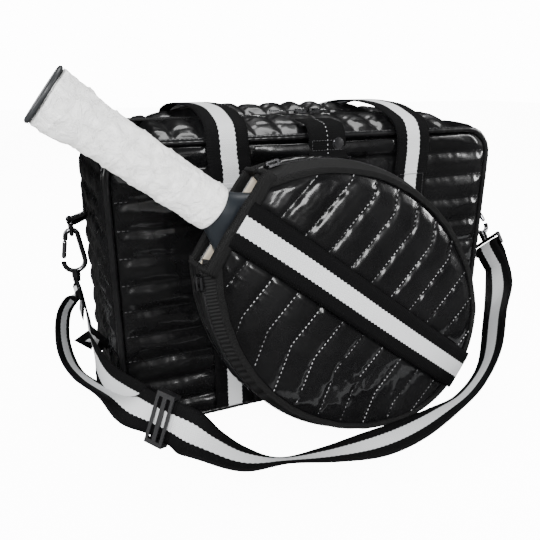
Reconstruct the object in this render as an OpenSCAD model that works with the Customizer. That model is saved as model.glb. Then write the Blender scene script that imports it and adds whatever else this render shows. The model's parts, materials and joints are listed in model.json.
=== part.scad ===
// Quilted tote bag with a teardrop paddle case on its front, a paddle in the case and a clip-on
// shoulder strap. Millimetres. Origin: centre of the bag's bottom face, +Z up, front towards -Y.

/* [Bag] */
// Width of the bag
bag_w = 420;                                  // [400:5:440]
// Height of the bag
bag_h = 280;                                  // [270:5:300]
// Depth of the bag over the piping
bag_d = 180;                                  // [170:5:190]
// Corner radius of the front and back outline
corner_r = 34;                                // [26:2:40]
// Height of one quilted channel on the bag
channel_pitch = 25.4;                         // [22:0.2:30]
// Rise of the quilted channels above their seams
channel_rise = 5;                             // [3:0.5:6]
// Diameter of the corded edge piping
piping_d = 6.4;                               // [5:0.2:7]

/* [Handles and straps] */
// Width of the handle webbing
handle_w = 40;                                // [34:1:42]
// Width of the pale stripe along the middle of the webbing
stripe_w = 15;                                // [10:1:18]
// Distance of each handle leg from the middle of the bag
leg_x = 99;                                   // [90:1:105]
// Width of the shoulder strap webbing
strap_w = 38;                                 // [34:1:38]
// Wire diameter of rings and hooks
wire_d = 4;                                   // [3.6:0.2:4.4]

/* [Paddle case] */
// Depth of the case between front and back panels
case_t = 46;                                  // [46:1:50]
// Half width of the case mouth
mouth_half = 46.5;                            // [44:0.5:48]
// Lean of the case back towards the bag in degrees
case_lean = 5;                                // [4:0.5:6]
// Slope of the case's long axis below horizontal in degrees
case_slope = 37.5;                            // [36:0.5:39]

/* [Paddle] */
// Length of the paddle
paddle_l = 406;                               // [396:2:412]
// Width of the paddle face
face_w = 196;                                 // [190:2:196]
// Thickness of the paddle face
face_t = 14;                                  // [11:1:16]
// Diameter of the wrapped grip
grip_d = 38;                                  // [34:1:38]

/* [Part selection] */
// Sub-part to build, or all

/* [Hidden] */
$fn = 64;
gap = 0.3;
seam_land = 0.4;                              // half the flat strip along each quilting seam
panel_t = 8;
gusset_t = 6;
web_t = 1.8;
stripe_t = 0.6;
panel_in = piping_d + 0.2;                    // inset of the panels inside the piping
panel_face = bag_d / 2 - 2;                   // seam plane of the front and back panels
gusset_half = bag_d / 2 - piping_d - 0.2;     // half depth of the gusset band
fold_y = panel_face - panel_t - 0.5;          // outer edges of the top flaps, inside the panels
flap_x = bag_w / 2 - corner_r - 4;            // half length of the top flaps
flap_z = bag_h - 7;                           // underside of the top flaps
flap_t = 5;
flap_tilt = 14;                               // the flaps rise this steeply towards the zip
flap_setback = 5;                             // room for a flap's outer edge to swing as it folds in
coil_gap = 0.45;                              // each coil half stands this far from the middle
stripe_gap = 0.02;                            // a stripe stands this far off its webbing
tape_y = 14;                                  // half width of the zip tapes
zip_z = flap_z + (fold_y - tape_y) * sin(flap_tilt);// height of the zip's seat
coil_r = 1.5;
slider_x = 26;                                // where the two closed sliders meet
web_y = panel_face + channel_rise + 1.2;      // inner face of the webbing on the panels
leg_top = 236;                                // the legs are stitched down up to here
leg_bottom = 9;
loop_back = bag_d / 2 + 7;                    // plane of the front loop's crown behind the bag
tab_z = 194;                                  // height of the side ring tabs
left_tab_y = 10;
right_tab_y = -42;
ring_r = 14;                                  // inner radius of the side rings
ring_x = bag_w / 2 + 23;                      // the side rings hang clear of the gussets
hook_z = tab_z - ring_r + wire_d + 0.4;       // where a hook's bow rests in its ring
hook_pull = -40;                              // the strap draws the right hook forwards
hook_top = 6;                                 // radius of the bow of a hook
hook_wide = 10.5;                             // radius of its wide lower end
hook_low = 33;                                // depth of the centre of the lower end
hook_boss = 50;                               // underside of the swivel boss
hook_drop = 66;                               // ring contact to strap bar
loop_z = bag_h + 21;                          // the front loop crosses the top at this height
crown_z = 236;                                // lower edge of the front loop's crown
rear_loop_y = web_y + web_t + 1.6;
hanger_z = 258;
hanger_top = bag_h - 3;                       // here the hanger tab bends over the top
hanger_y = web_y - 0.8;                       // inner face of the hanger tab
bent_gap = 0.2;                               // stripes lie this far off bent webbing
case_pos = [-121, -178, 224];
case_yaw = 2.1;
side_r = 181.2;                               // radius of the case's long sides
side_c = [145.6, -61.2];                      // centre of the upper long side arc
end_c = 195.3;                                // centre of the rounded far end
end_r = 102.3;
end_x = 259.7;                                // where the long side meets the far end
case_tip = end_c + end_r;                     // far end of the case on its long axis
butt_x = -162;                                // butt of the paddle on the case's axis
paddle_z = -case_t / 2;
case_mid = 19.5;                              // the case zip's depth behind the front face
case_inset = 5.2;                             // inset of the case panels inside the bindings
case_panel_t = 6;
case_rise = 3.4;
case_pitch = 24;
case_web_l = case_tip - 8;
case_slider_a = 140;                          // rest angle of the case sliders
face_l = 222;
face_r = 80;
neck_x0 = -16;
neck_x1 = butt_x + paddle_l - face_l + 4;
neck_half = 40;
neck_t = 24.5;                                // thickness of the neck, a loose fit in the mouth

// ---------------------------------------------------------------- shared shapes
// rounded rectangle standing on the X axis
module rrect(w, h, r) {
  translate([-w / 2, r]) square([w, h - 2 * r]);
  translate([-w / 2 + r, 0]) square([w - 2 * r, h]);
  for (sx = [-1, 1]) for (z = [r, h - r]) translate([sx * (w / 2 - r), z]) circle(r = r);
}

// outline of the bag, inset by d, extruded from y0 to y1
module slab(d, y0, y1) {
  translate([0, y1, d]) rotate([90, 0, 0]) linear_extrude(y1 - y0)
    rrect(bag_w - 2 * d, bag_h - 2 * d, corner_r - d);
}

// row of rounded channels: flat back at 0, seams at t, crowns at t + rise, n channels along x
module flutes(n, pitch, t, rise) {
  c = pitch / 2 - seam_land;
  r = (c * c + rise * rise) / (2 * rise);
  intersection() {
    square([n * pitch, t + rise]);
    union() {
      square([n * pitch, t]);
      for (i = [0 : n - 1]) translate([(i + 0.5) * pitch, t + rise - r]) circle(r = r);
    }
  }
}

// profile drawn as (y, z), swept along x from x0
module along_x(x0, len) {
  translate([x0, 0, 0]) rotate([90, 0, 90]) linear_extrude(len) children();
}

// profile drawn as (x, z), swept along y from y0
module along_y(y0, len) {
  translate([0, y0 + len, 0]) rotate([90, 0, 0]) linear_extrude(len) children();
}

module bag_panel() {
  n = ceil(bag_h / channel_pitch);
  intersection() {
    slab(panel_in, -panel_face - channel_rise - 1, -panel_face + panel_t);
    along_x(-bag_w / 2, bag_w) translate([-panel_face + panel_t, 0]) rotate(90)
      flutes(n, channel_pitch, panel_t, channel_rise);
  }
}

module ring_wall(d, t) {
  difference() {
    slab(d, -gusset_half, gusset_half);
    slab(d + t, -gusset_half - 1, gusset_half + 1);
  }
}

module side_gusset() {
  n = floor((bag_h - corner_r - 20) / channel_pitch);
  intersection() {
    ring_wall(0, gusset_t);
    translate([flap_x + gap, -bag_d, -1]) cube([bag_w, 2 * bag_d, bag_h + 2]);
  }
  along_y(-gusset_half, 2 * gusset_half) translate([bag_w / 2 - gusset_t, 24])
    mirror([1, 0]) rotate(90) flutes(n, channel_pitch, gusset_t, channel_rise);
}

module piping_loop() {
  r = piping_d / 2;
  w = bag_w / 2 - corner_r;
  cr = corner_r - r;
  for (sx = [-1, 1]) {
    translate([sx * (bag_w / 2 - r), 0, corner_r]) cylinder(r = r, h = bag_h - 2 * corner_r);
    translate([sx * w, 0, corner_r]) rotate([90, 0, 0])
      rotate([0, 0, sx > 0 ? -90 : 180]) rotate_extrude(angle = 90) translate([cr, 0]) circle(r = r);
    translate([sx * w, 0, bag_h - corner_r]) rotate([90, 0, 0])
      rotate([0, 0, sx > 0 ? 0 : 90]) rotate_extrude(angle = 90) translate([cr, 0]) circle(r = r);
  }
  for (z = [r, bag_h - r]) translate([-w, 0, z]) rotate([0, 90, 0]) cylinder(r = r, h = 2 * w);
}

// straight bar of wire between two points
module wire(p, q, r) {
  v = q - p;
  l = norm(v);
  translate(p) rotate([0, acos(v[2] / l), atan2(v[1], v[0])]) cylinder(r = r, h = l);
  translate(p) sphere(r = r);
  translate(q) sphere(r = r);
}

// ---------------------------------------------------------------- bag shell
module bag_front_panel() color([0.05, 0.05, 0.06]) bag_panel();
module bag_back_panel() color([0.05, 0.05, 0.06]) mirror([0, 1, 0]) bag_panel();
module bag_right_gusset() color([0.06, 0.06, 0.07]) side_gusset();
module bag_left_gusset() color([0.06, 0.06, 0.07]) mirror([1, 0, 0]) side_gusset();
module bag_bottom() color([0.06, 0.06, 0.07])
  translate([-flap_x, -gusset_half, 0]) cube([2 * flap_x, 2 * gusset_half, gusset_t]);
module bag_front_piping() color([0.03, 0.03, 0.03])
  translate([0, -bag_d / 2 + piping_d / 2, 0]) piping_loop();
module bag_rear_piping() color([0.03, 0.03, 0.03])
  translate([0, bag_d / 2 - piping_d / 2, 0]) piping_loop();

// ---------------------------------------------------------------- top flaps and main zip
module flap() {
  n = floor(2 * flap_x / channel_pitch);
  pitch = (2 * flap_x - 2 * gap) / n;
  translate([0, -fold_y, flap_z]) rotate([flap_tilt, 0, 0])
    along_y(flap_setback, fold_y - tape_y - flap_setback) translate([-flap_x + gap, 0])
      flutes(n, pitch, flap_t, channel_rise);
}

module tape() translate([-flap_x + 2, -tape_y + gap, zip_z + 1])
  cube([2 * flap_x - 4, tape_y - gap - 2 * coil_r - coil_gap - 0.05, 1.4]);

module coil() translate([-flap_x + 4, -coil_r - coil_gap, zip_z + 2]) rotate([0, 90, 0])
  cylinder(r = coil_r - 0.05, h = 2 * flap_x - 8);

module top_flap_front() color([0.06, 0.06, 0.07]) flap();
module top_flap_rear() color([0.06, 0.06, 0.07]) mirror([0, 1, 0]) flap();
module main_tape_front() color([0.02, 0.02, 0.02]) tape();
module main_tape_rear() color([0.02, 0.02, 0.02]) mirror([0, 1, 0]) tape();
module main_coil_front() color([0.02, 0.02, 0.02]) coil();
module main_coil_rear() color([0.02, 0.02, 0.02]) mirror([0, 1, 0]) coil();

// zip slider riding above a coil, its middle at the origin and its coil side at z 0
module slider_body() {
  difference() {
    translate([-7, -4.5, 0]) cube([14, 9, 2]);
    for (sx = [-1, 1], sy = [-1, 1]) translate([sx * 7, sy * 4.5, 1]) rotate([0, 0, 45])
      cube([2.4, 2.4, 4], center = true);
  }
  for (sx = [-1, 1]) translate([sx * 5 - 0.8, -1.8, 1.9]) cube([1.6, 3.6, 2.6]);
  translate([-5.8, -1.8, 3.5]) cube([11.6, 3.6, 1.1]);
}

// pull tab lying away from its slider, hinged on the crossbar under the bridge
module puller(s) {
  translate([0, -4.2, 2.75]) rotate([-90, 0, 0]) cylinder(r = 0.6, h = 8.4);
  for (y = [-4.2, 3]) translate([s > 0 ? 0 : -10, y, 2.25]) cube([10, 1.2, 1]);
  difference() {
    union() {
      translate([s > 0 ? 9 : -33, -4.2, 2.25]) cube([24, 8.4, 1]);
      translate([s * 33, 0, 2.25]) cylinder(r = 4.2, h = 1);
    }
    translate([s * 32.5, 0, 1]) cylinder(r = 2, h = 4);
  }
}
module at_slider(s) translate([slider_x + s * 8, 0, zip_z + 4]) children();
module main_slider_right() color([0.25, 0.25, 0.27]) at_slider(1) slider_body();
module main_slider_left() color([0.25, 0.25, 0.27]) at_slider(-1) slider_body();
module main_puller_right() color([0.3, 0.3, 0.32]) at_slider(1) puller(1);
module main_puller_left() color([0.3, 0.3, 0.32]) at_slider(-1) puller(-1);

// ---------------------------------------------------------------- handles
module legs(w, y0, t) for (sx = [-1, 1])
  translate([sx * leg_x - w / 2, -y0 - t, leg_bottom]) cube([w, t, leg_top - leg_bottom - 1.5]);
module front_handle_legs() color([0.04, 0.04, 0.04]) legs(handle_w, web_y, web_t);
module front_leg_stripes() color([0.85, 0.85, 0.84]) legs(stripe_w, web_y + web_t + stripe_gap, stripe_t);
module rear_handle_legs() color([0.04, 0.04, 0.04]) mirror([0, 1, 0]) legs(handle_w, web_y, web_t);
module rear_leg_stripes() color([0.85, 0.85, 0.84])
  mirror([0, 1, 0]) legs(stripe_w, web_y + web_t + stripe_gap, stripe_t);

// quarter of a band of thickness t outside inner radius r, in the quadrant sx
module quarter(r, t, sx) intersection() {
  difference() {
    circle(r = r + t);
    circle(r = r);
  }
  translate([sx < 0 ? -50 : 0, 0]) square([50, 50]);
}

// (y, z) path of the front loop: up the front, back over the top, down behind
module over_profile(o, t) {
  y0 = web_y + o;
  y1 = loop_back + o;
  r = 12 + o;
  zc = loop_z - 12;
  translate([-y0 - t, leg_top]) square([t, zc - leg_top]);
  translate([-y0 + r, zc]) quarter(r, t, -1);
  translate([-y0 + r, zc + r]) square([y0 - r + y1 - r, t]);
  translate([y1 - r, zc]) quarter(r, t, 1);
}
module over(w, o, t) {
  for (sx = [-1, 1]) along_x(sx * leg_x - w / 2, w) over_profile(o, t);
  y1 = loop_back + o;
  zc = crown_z + handle_w / 2;
  for (sx = [-1, 1]) translate([sx * leg_x - w / 2, y1, crown_z]) cube([w, t, loop_z - 12 - crown_z]);
  translate([-leg_x - w / 2, y1, zc - w / 2]) cube([2 * leg_x + w, t, w]);
}
module front_handle_loop() color([0.04, 0.04, 0.04]) over(handle_w, 0, web_t);
module front_loop_stripe() color([0.85, 0.85, 0.84])
  difference() {
    over(stripe_w, web_t + bent_gap, stripe_t);
    translate([-200, loop_back, crown_z - 1])
      cube([400, 9, handle_w / 2 - stripe_w / 2 + 1]);
  }

// rear loop: lapped on the top of the back legs and hanging down behind
module u_shape(r, drop) {
  intersection() {
    circle(r = r);
    translate([-r, -r]) square([2 * r, r]);
  }
  translate([-r, 0]) square([2 * r, drop]);
}
module hang(w, y0, t) {
  drop = 56;
  translate([0, y0 + t, leg_top - 4 - drop]) rotate([90, 0, 0]) linear_extrude(t) difference() {
    u_shape(leg_x + w / 2, drop);
    u_shape(leg_x - w / 2, drop + 1);
  }
}
module rear_handle_loop() color([0.04, 0.04, 0.04]) hang(handle_w, rear_loop_y, web_t);
module rear_loop_stripe() color([0.85, 0.85, 0.84])
  hang(stripe_w, rear_loop_y + web_t + stripe_gap, stripe_t);

// ---------------------------------------------------------------- hanger and side rings
module hanger_tab() color([0.04, 0.04, 0.04]) {
  along_x(-handle_w / 2, handle_w) {
    translate([-hanger_y - web_t, hanger_z]) square([web_t, hanger_top - hanger_z]);
    translate([-hanger_y + 11, hanger_top]) quarter(11, web_t, -1);
    translate([-hanger_y + 10.9, hanger_top + 11]) square([18, web_t]);
  }
  translate([-handle_w / 2, -hanger_y - web_t / 2 - 2.4, hanger_z - 1.2]) rotate([0, 90, 0]) difference() {
    cylinder(r = 3.4, h = handle_w);
    translate([0, 0, -1]) cylinder(r = 1.75, h = handle_w + 2);
  }
}
module hanger_ring() color([0.3, 0.3, 0.32])
  translate([0, -hanger_y - web_t / 2 - 2.4, hanger_z - 1.2]) {
    translate([-24, 0, 0]) rotate([0, 90, 0]) cylinder(r = 1.6, h = 48);
    for (sx = [-1, 1]) translate([sx * 24, 0, 0]) sphere(r = 1.6);
    rotate([90, 0, 0]) rotate([0, 0, 180]) rotate_extrude(angle = 180)
      translate([24, 0]) circle(r = 1.6);
  }
module hanger_snap() color([0.35, 0.35, 0.36])
  translate([handle_w / 2 - 9, -hanger_y - web_t - 0.05, hanger_z + 12]) rotate([90, 0, 0]) {
    cylinder(r = 6, h = 1);
    cylinder(r = 4.6, h = 1.8);
  }

module ring_tab(y) translate([bag_w / 2 + channel_rise + 0.5, y, tab_z]) {
  w = 19;
  reach = ring_x - bag_w / 2 - channel_rise - 0.5;
  translate([0, -w / 2, 2.6]) cube([2.4, w, 26]);
  translate([reach, w / 2, 0]) rotate([90, 0, 0]) difference() {
    cylinder(r = 4, h = w);
    translate([0, 0, -1]) cylinder(r = wire_d / 2 + 0.08, h = w + 2);
  }
  translate([0, -w / 2, 2.6]) cube([reach, w, 1.4]);
}
module side_ring(y) translate([ring_x, y, tab_z]) {
  translate([0, ring_r, 0]) rotate([90, 0, 0]) cylinder(r = wire_d / 2, h = 2 * ring_r);
  for (sy = [-1, 1]) translate([0, sy * ring_r, 0]) sphere(r = wire_d / 2);
  rotate([0, 90, 0]) rotate([0, 0, -90]) rotate_extrude(angle = 180)
    translate([ring_r, 0]) circle(r = wire_d / 2);
}
module right_ring_tab() color([0.04, 0.04, 0.04]) ring_tab(right_tab_y);
module left_ring_tab() color([0.04, 0.04, 0.04]) mirror([1, 0, 0]) ring_tab(left_tab_y);
module right_ring() color([0.3, 0.3, 0.32]) side_ring(right_tab_y);
module left_ring() color([0.3, 0.3, 0.32]) mirror([1, 0, 0]) side_ring(left_tab_y);

// ---------------------------------------------------------------- snap hooks
// pear shaped snap hook hanging from the origin in the XZ plane, gate side open
module hook_body() {
  r = wire_d / 2;
  translate([0, 0, -hook_top]) rotate([90, 0, 0]) rotate_extrude(angle = 180)
    translate([hook_top, 0]) circle(r = r);
  translate([0, 0, -hook_low]) rotate([90, 0, 0]) rotate([0, 0, 180]) rotate_extrude(angle = 180)
    translate([hook_wide, 0]) circle(r = r);
  wire([hook_top, 0, -hook_top], [hook_wide, 0, -hook_low], r);
  wire([-hook_top, 0, -hook_top], [-hook_top - 0.4, 0, -hook_top - 2.4], r);
  wire([-hook_wide, 0, -hook_low], [-hook_wide + 0.3, 0, -hook_low + 1.8], r);
  translate([0, 0, -hook_boss]) difference() {
    cylinder(r = 3.8, h = hook_boss - hook_low - hook_wide + 1);
    translate([0, 0, -1]) cylinder(r = 1.75, h = 6);
  }
}
module hook_gate() wire([-hook_top - 1.35, 0, -hook_top - 6.6],
  [-hook_wide + 0.75, 0, -hook_low + 6], wire_d / 2 - 0.2);

// swivel eye below a hook, its strap bar along x
module hook_eye() {
  r = wire_d / 2;
  half = strap_w / 2 + 3.6;
  translate([0, 0, -hook_boss - 0.5]) cylinder(r = 1.7, h = 4.5);
  translate([0, 0, -hook_boss - 4.5]) cylinder(r = 3.8, h = 4.2);
  for (z = [-hook_boss - 5, -hook_drop]) wire([-half, 0, z], [half, 0, z], r);
  for (sx = [-1, 1]) wire([sx * half, 0, -hook_boss - 5], [sx * half, 0, -hook_drop], r);
}
module at_left_hook() translate([-ring_x, left_tab_y, hook_z]) children();
module at_right_hook() translate([ring_x, right_tab_y, hook_z]) rotate([hook_pull, 0, 0]) children();
module left_hook() color([0.25, 0.25, 0.27]) at_left_hook() hook_body();
module left_gate() color([0.35, 0.35, 0.36]) at_left_hook() hook_gate();
module left_eye() color([0.3, 0.3, 0.32]) at_left_hook() rotate([0, 0, 90]) hook_eye();
module right_hook() color([0.25, 0.25, 0.27]) at_right_hook() mirror([1, 0, 0]) hook_body();
module right_gate() color([0.35, 0.35, 0.36]) at_right_hook() mirror([1, 0, 0]) hook_gate();
module right_eye() color([0.3, 0.3, 0.32]) at_right_hook() rotate([0, 0, 90]) hook_eye();

// ---------------------------------------------------------------- shoulder strap
function unit(v) = v / norm(v);
// frame at p looking along d, its second axis as near as possible to w
module frame_at(p, d, w) {
  z = unit(d);
  y = unit(w - (w * z) * z);
  x = cross(y, z);
  multmatrix([[x[0], y[0], z[0], p[0]], [x[1], y[1], z[1], p[1]], [x[2], y[2], z[2], p[2]],
    [0, 0, 0, 1]]) children();
}
// smooth curve through a list of points or vectors, n steps to each span
function at(v, i) = v[max(0, min(len(v) - 1, i))];
function spline(v, i, t) = (2 * at(v, i) + (at(v, i + 1) - at(v, i - 1)) * t
  + (2 * at(v, i - 1) - 5 * at(v, i) + 4 * at(v, i + 1) - at(v, i + 2)) * t * t
  + (3 * at(v, i) - at(v, i - 1) - 3 * at(v, i + 1) + at(v, i + 2)) * t * t * t) / 2;
function smooth(v, n) = [for (k = [0 : (len(v) - 1) * n]) spline(v, floor(k / n), k / n - floor(k / n))];

// webbing of width w and thickness t along points, its width near the given vectors
module band(path, widths, w, t) {
  pts = smooth(path, 3);
  ws = smooth(widths, 3);
  for (i = [0 : len(pts) - 2]) {
    d = pts[i + 1] - pts[i];
    frame_at(pts[i], d, ws[i] + ws[i + 1])
      translate([-t / 2, -w / 2, -0.5]) cube([t, w, norm(d) + 1]);
  }
}
strap_pts = [
  [-ring_x - 4, left_tab_y, hook_z - hook_drop - 3], [-ring_x - 16, left_tab_y - 2, 98],
  [-ring_x - 21, -6, 78], [-251, -36, 61], [-238, -72, 56], [-219, -112, 57], [-198, -148, 58],
  [-178, -174, 54], [-158, -198, 46], [-134, -214, 34], [-103, -224, 27], [-64, -230, 22],
  [-22, -233, 20], [16, -232, 24], [54, -227, 32], [98, -218, 42], [144, -194, 58], [193, -146, 81],
  [ring_x, right_tab_y - (hook_drop + 5) * sin(-hook_pull), hook_z - (hook_drop + 5) * cos(hook_pull)]
];
strap_ws = [
  [0, 1, 0], [0, 1, 0], [0, 1, 0.2], [0, 0.9, 0.4], [0.1, 0.6, 0.7], [0.1, 0.4, 0.9],
  [0.1, 0.4, 0.9], [0, 0.5, 0.8], [0, 0.7, 0.6], [0, 0.9, 0.4], [0, 1, 0.2], [0, 1, 0.15],
  [0, 1, 0.15], [0, 1, 0.2], [-0.1, 0.9, 0.3], [-0.1, 0.85, 0.45], [-0.1, 0.8, 0.5],
  [0, 0.85, -0.1], [0, 0.77, -0.64]
];
module strap_loop() rotate([90, 0, 0]) difference() {
  cylinder(r = 4.3, h = strap_w, center = true);
  cylinder(r = wire_d / 2 + 0.08, h = strap_w + 2, center = true);
}
module shoulder_strap() color([0.04, 0.04, 0.04]) {
  band(strap_pts, strap_ws, strap_w, web_t);
  at_left_hook() translate([0, 0, -hook_drop]) strap_loop();
  at_right_hook() translate([0, 0, -hook_drop]) strap_loop();
}

// strap tail doubled back from the adjuster to the left eye, behind the outer run
return_pts = [
  [-ring_x + 3.6, left_tab_y, hook_z - hook_drop - 5.5], [-ring_x + 5, left_tab_y - 3, 92],
  [-ring_x + 5, left_tab_y - 26, 74], [-227, -54, 66], [-223, -84, 60], [-210, -110, 56],
  [-187, -136, 50]
];
return_ws = [
  [0, 1, 0], [0, 1, 0.1], [0, 1, 0.3], [0, 0.8, 0.6], [0.1, 0.5, 0.9], [0.1, 0.3, 1], [0.1, 0.3, 1]
];
module strap_return() color([0.04, 0.04, 0.04]) band(return_pts, return_ws, strap_w - 4, web_t);
module strap_adjuster() color([0.25, 0.25, 0.27])
  frame_at((strap_pts[6] + strap_pts[7]) / 2, strap_pts[7] - strap_pts[6],
    (strap_ws[6] + strap_ws[7]) / 2) difference() {
      translate([-5, -strap_w / 2 - 4, -9]) cube([10, strap_w + 8, 18]);
      translate([-3.3, -strap_w / 2 - 0.8, -10]) cube([6.6, strap_w + 1.6, 20]);
      for (z = [-4, 4]) translate([-6, -strap_w / 2, z - 2]) cube([12, strap_w, 4]);
    }

// ---------------------------------------------------------------- paddle case
module at_case() translate(case_pos) rotate([0, 0, case_yaw]) rotate([90 - case_lean, 0, 0])
  rotate([0, 0, -case_slope]) children();

// teardrop outline inset by d, its mouth at x0
module teardrop(d, x0 = 0) intersection() {
  translate([side_c[0], side_c[1]]) circle(r = side_r - d);
  translate([side_c[0], -side_c[1]]) circle(r = side_r - d);
  union() {
    translate([-5, -200]) square([end_x + 5, 400]);
    translate([end_c, 0]) circle(r = end_r - d);
  }
  translate([x0, -200]) square([400, 400]);
}
module case_ring(d, t, z0, z1) translate([0, 0, z0]) linear_extrude(z1 - z0) difference() {
  teardrop(d);
  teardrop(d + t, -1);
}
// quilted panel with crosswise channels, its seams at z 0 and crowns towards +z
module case_panel() intersection() {
  translate([0, 0, -case_panel_t]) linear_extrude(30) intersection() {
    teardrop(case_inset);
    translate([6, -200]) square(400);
  }
  translate([0, 200, -case_panel_t]) rotate([90, 0, 0]) linear_extrude(400)
    flutes(ceil(case_tip / case_pitch), case_pitch, case_panel_t, case_rise);
}
module case_webbing_at(w, z, t) translate([4, -w / 2, z]) cube([case_web_l, w, t]);

module case_back_panel() color([0.05, 0.05, 0.06])
  at_case() translate([0, 0, -case_t + case_rise]) mirror([0, 0, 1]) case_panel();
module case_rear_binding() color([0.03, 0.03, 0.03])
  at_case() case_ring(0, case_inset - 0.2, -case_t, -case_t + 5);
module case_gusset() color([0.06, 0.06, 0.07])
  at_case() case_ring(1.2, 3, -case_t + 5.1, -case_mid - 13.2);
module case_tape_rear() color([0.02, 0.02, 0.02])
  at_case() case_ring(0.6, 1.6, -case_mid - 13.1, -case_mid - 2.1);
module case_coil_rear() color([0.02, 0.02, 0.02])
  at_case() case_ring(0.2, 2.6, -case_mid - 2, -case_mid - 0.1);
module case_lining() color([0.75, 0.68, 0.55])
  at_case() translate([0, 0, -case_t + case_panel_t + case_rise + 0.1]) linear_extrude(0.8)
    teardrop(case_inset + 0.4);

module case_front_panel() color([0.05, 0.05, 0.06])
  at_case() translate([0, 0, -case_rise]) case_panel();
module case_front_binding() color([0.03, 0.03, 0.03])
  at_case() case_ring(0, case_inset - 0.2, -5, 0);
module case_tape_front() color([0.02, 0.02, 0.02])
  at_case() case_ring(0.6, 1.6, -case_mid + 2.1, -5.1);
module case_coil_front() color([0.02, 0.02, 0.02])
  at_case() case_ring(0.2, 2.6, -case_mid + 0.1, -case_mid + 2);
// folded binding along the mouth edge of a panel
module mouth_edge(z0, z1) translate([0, 0, z0]) linear_extrude(z1 - z0) intersection() {
  teardrop(case_inset, -1);
  translate([-1, -mouth_half]) square([6.8, 2 * mouth_half]);
}
module case_front_mouth() color([0.03, 0.03, 0.03])
  at_case() mouth_edge(-case_panel_t - case_rise, -0.5);
module case_rear_mouth() color([0.03, 0.03, 0.03])
  at_case() mouth_edge(-case_t + 0.5, -case_t + case_panel_t + case_rise);
module case_webbing() color([0.04, 0.04, 0.04])
  at_case() case_webbing_at(handle_w, 0.1, web_t);
module case_webbing_stripe() color([0.85, 0.85, 0.84])
  at_case() case_webbing_at(stripe_w, 0.12 + web_t, stripe_t);

// slider straddling the case zip just outside its coil, at an angle about the long side's centre
module case_slider(s) at_case() mirror([0, s > 0 ? 0 : 1, 0]) translate([side_c[0], side_c[1], 0])
  rotate([0, 0, case_slider_a]) translate([side_r + 0.3, 0, -case_mid]) rotate([90, 0, 90])
    slider_body();
module case_slider_upper() color([0.3, 0.3, 0.32]) case_slider(1);
module case_slider_lower() color([0.3, 0.3, 0.32]) case_slider(-1);

// ---------------------------------------------------------------- paddle
module face_outline(d) {
  x0 = butt_x + paddle_l - face_l;
  r = face_r - d;
  translate([x0 + d, -face_w / 2 + face_r]) square([face_l - 2 * d, face_w - 2 * face_r]);
  translate([x0 + face_r, -face_w / 2 + d]) square([face_l - 2 * face_r, face_w - 2 * d]);
  for (sx = [0, 1]) for (sy = [-1, 1])
    translate([x0 + face_r + sx * (face_l - 2 * face_r), sy * (face_w / 2 - face_r)]) circle(r = r);
}
module paddle_face() color([0.1, 0.11, 0.12]) at_case()
  translate([0, 0, paddle_z - face_t / 2]) linear_extrude(face_t) difference() {
    face_outline(3);
    translate([-60, -100]) square([neck_x1 + 60.1, 200]);
  }
module paddle_edge_guard() color([0.03, 0.03, 0.03]) at_case()
  translate([0, 0, paddle_z - face_t / 2 - 0.8]) linear_extrude(face_t + 1.6) difference() {
    face_outline(0);
    face_outline(2.7);
    translate([-60, -neck_half - 1]) square([neck_x1 + 62, 2 * neck_half + 2]);
  }
// neck: flares from the handle to the shoulders of the face
module paddle_neck() color([0.2, 0.22, 0.25]) at_case()
  translate([0, 0, paddle_z - neck_t / 2]) linear_extrude(neck_t)
    polygon([[neck_x0, -grip_d * 0.47], [neck_x0, grip_d * 0.47], [neck_x1, neck_half],
      [neck_x1, -neck_half]]);
module on_axis() at_case() translate([0, 0, paddle_z]) rotate([0, 90, 0]) children();
module paddle_grip() color([0.93, 0.93, 0.92]) on_axis() {
  translate([0, 0, butt_x + 18]) cylinder(r = grip_d / 2, h = neck_x0 - butt_x - 18.2);
  translate([0, 0, butt_x + 3.1]) cylinder(r1 = grip_d / 2 + 3, r2 = grip_d / 2, h = 15);
}
module paddle_butt_cap() color([0.15, 0.15, 0.16]) on_axis() translate([0, 0, butt_x]) {
  cylinder(r = grip_d / 2 + 3.4, h = 3);
}

// ---------------------------------------------------------------- selection
bag_front_panel();
bag_back_panel();
bag_left_gusset();
bag_right_gusset();
bag_bottom();
bag_front_piping();
bag_rear_piping();
top_flap_front();
top_flap_rear();
main_tape_front();
main_tape_rear();
main_coil_front();
main_coil_rear();
main_slider_right();
main_slider_left();
main_puller_right();
main_puller_left();
front_handle_legs();
front_leg_stripes();
front_handle_loop();
front_loop_stripe();
rear_handle_legs();
rear_leg_stripes();
rear_handle_loop();
rear_loop_stripe();
hanger_tab();
hanger_ring();
hanger_snap();
left_ring_tab();
right_ring_tab();
left_ring();
right_ring();
left_hook();
left_gate();
left_eye();
right_hook();
right_gate();
right_eye();
shoulder_strap();
strap_return();
strap_adjuster();
case_back_panel();
case_gusset();
case_tape_rear();
case_coil_rear();
case_rear_binding();
case_lining();
case_rear_mouth();
case_front_mouth();
case_front_panel();
case_front_binding();
case_tape_front();
case_coil_front();
case_webbing();
case_webbing_stripe();
case_slider_upper();
case_slider_lower();
paddle_face();
paddle_edge_guard();
paddle_neck();
paddle_grip();
paddle_butt_cap();
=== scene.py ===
import json
import math

import bpy
import numpy as np
from mathutils import Matrix, Vector


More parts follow.
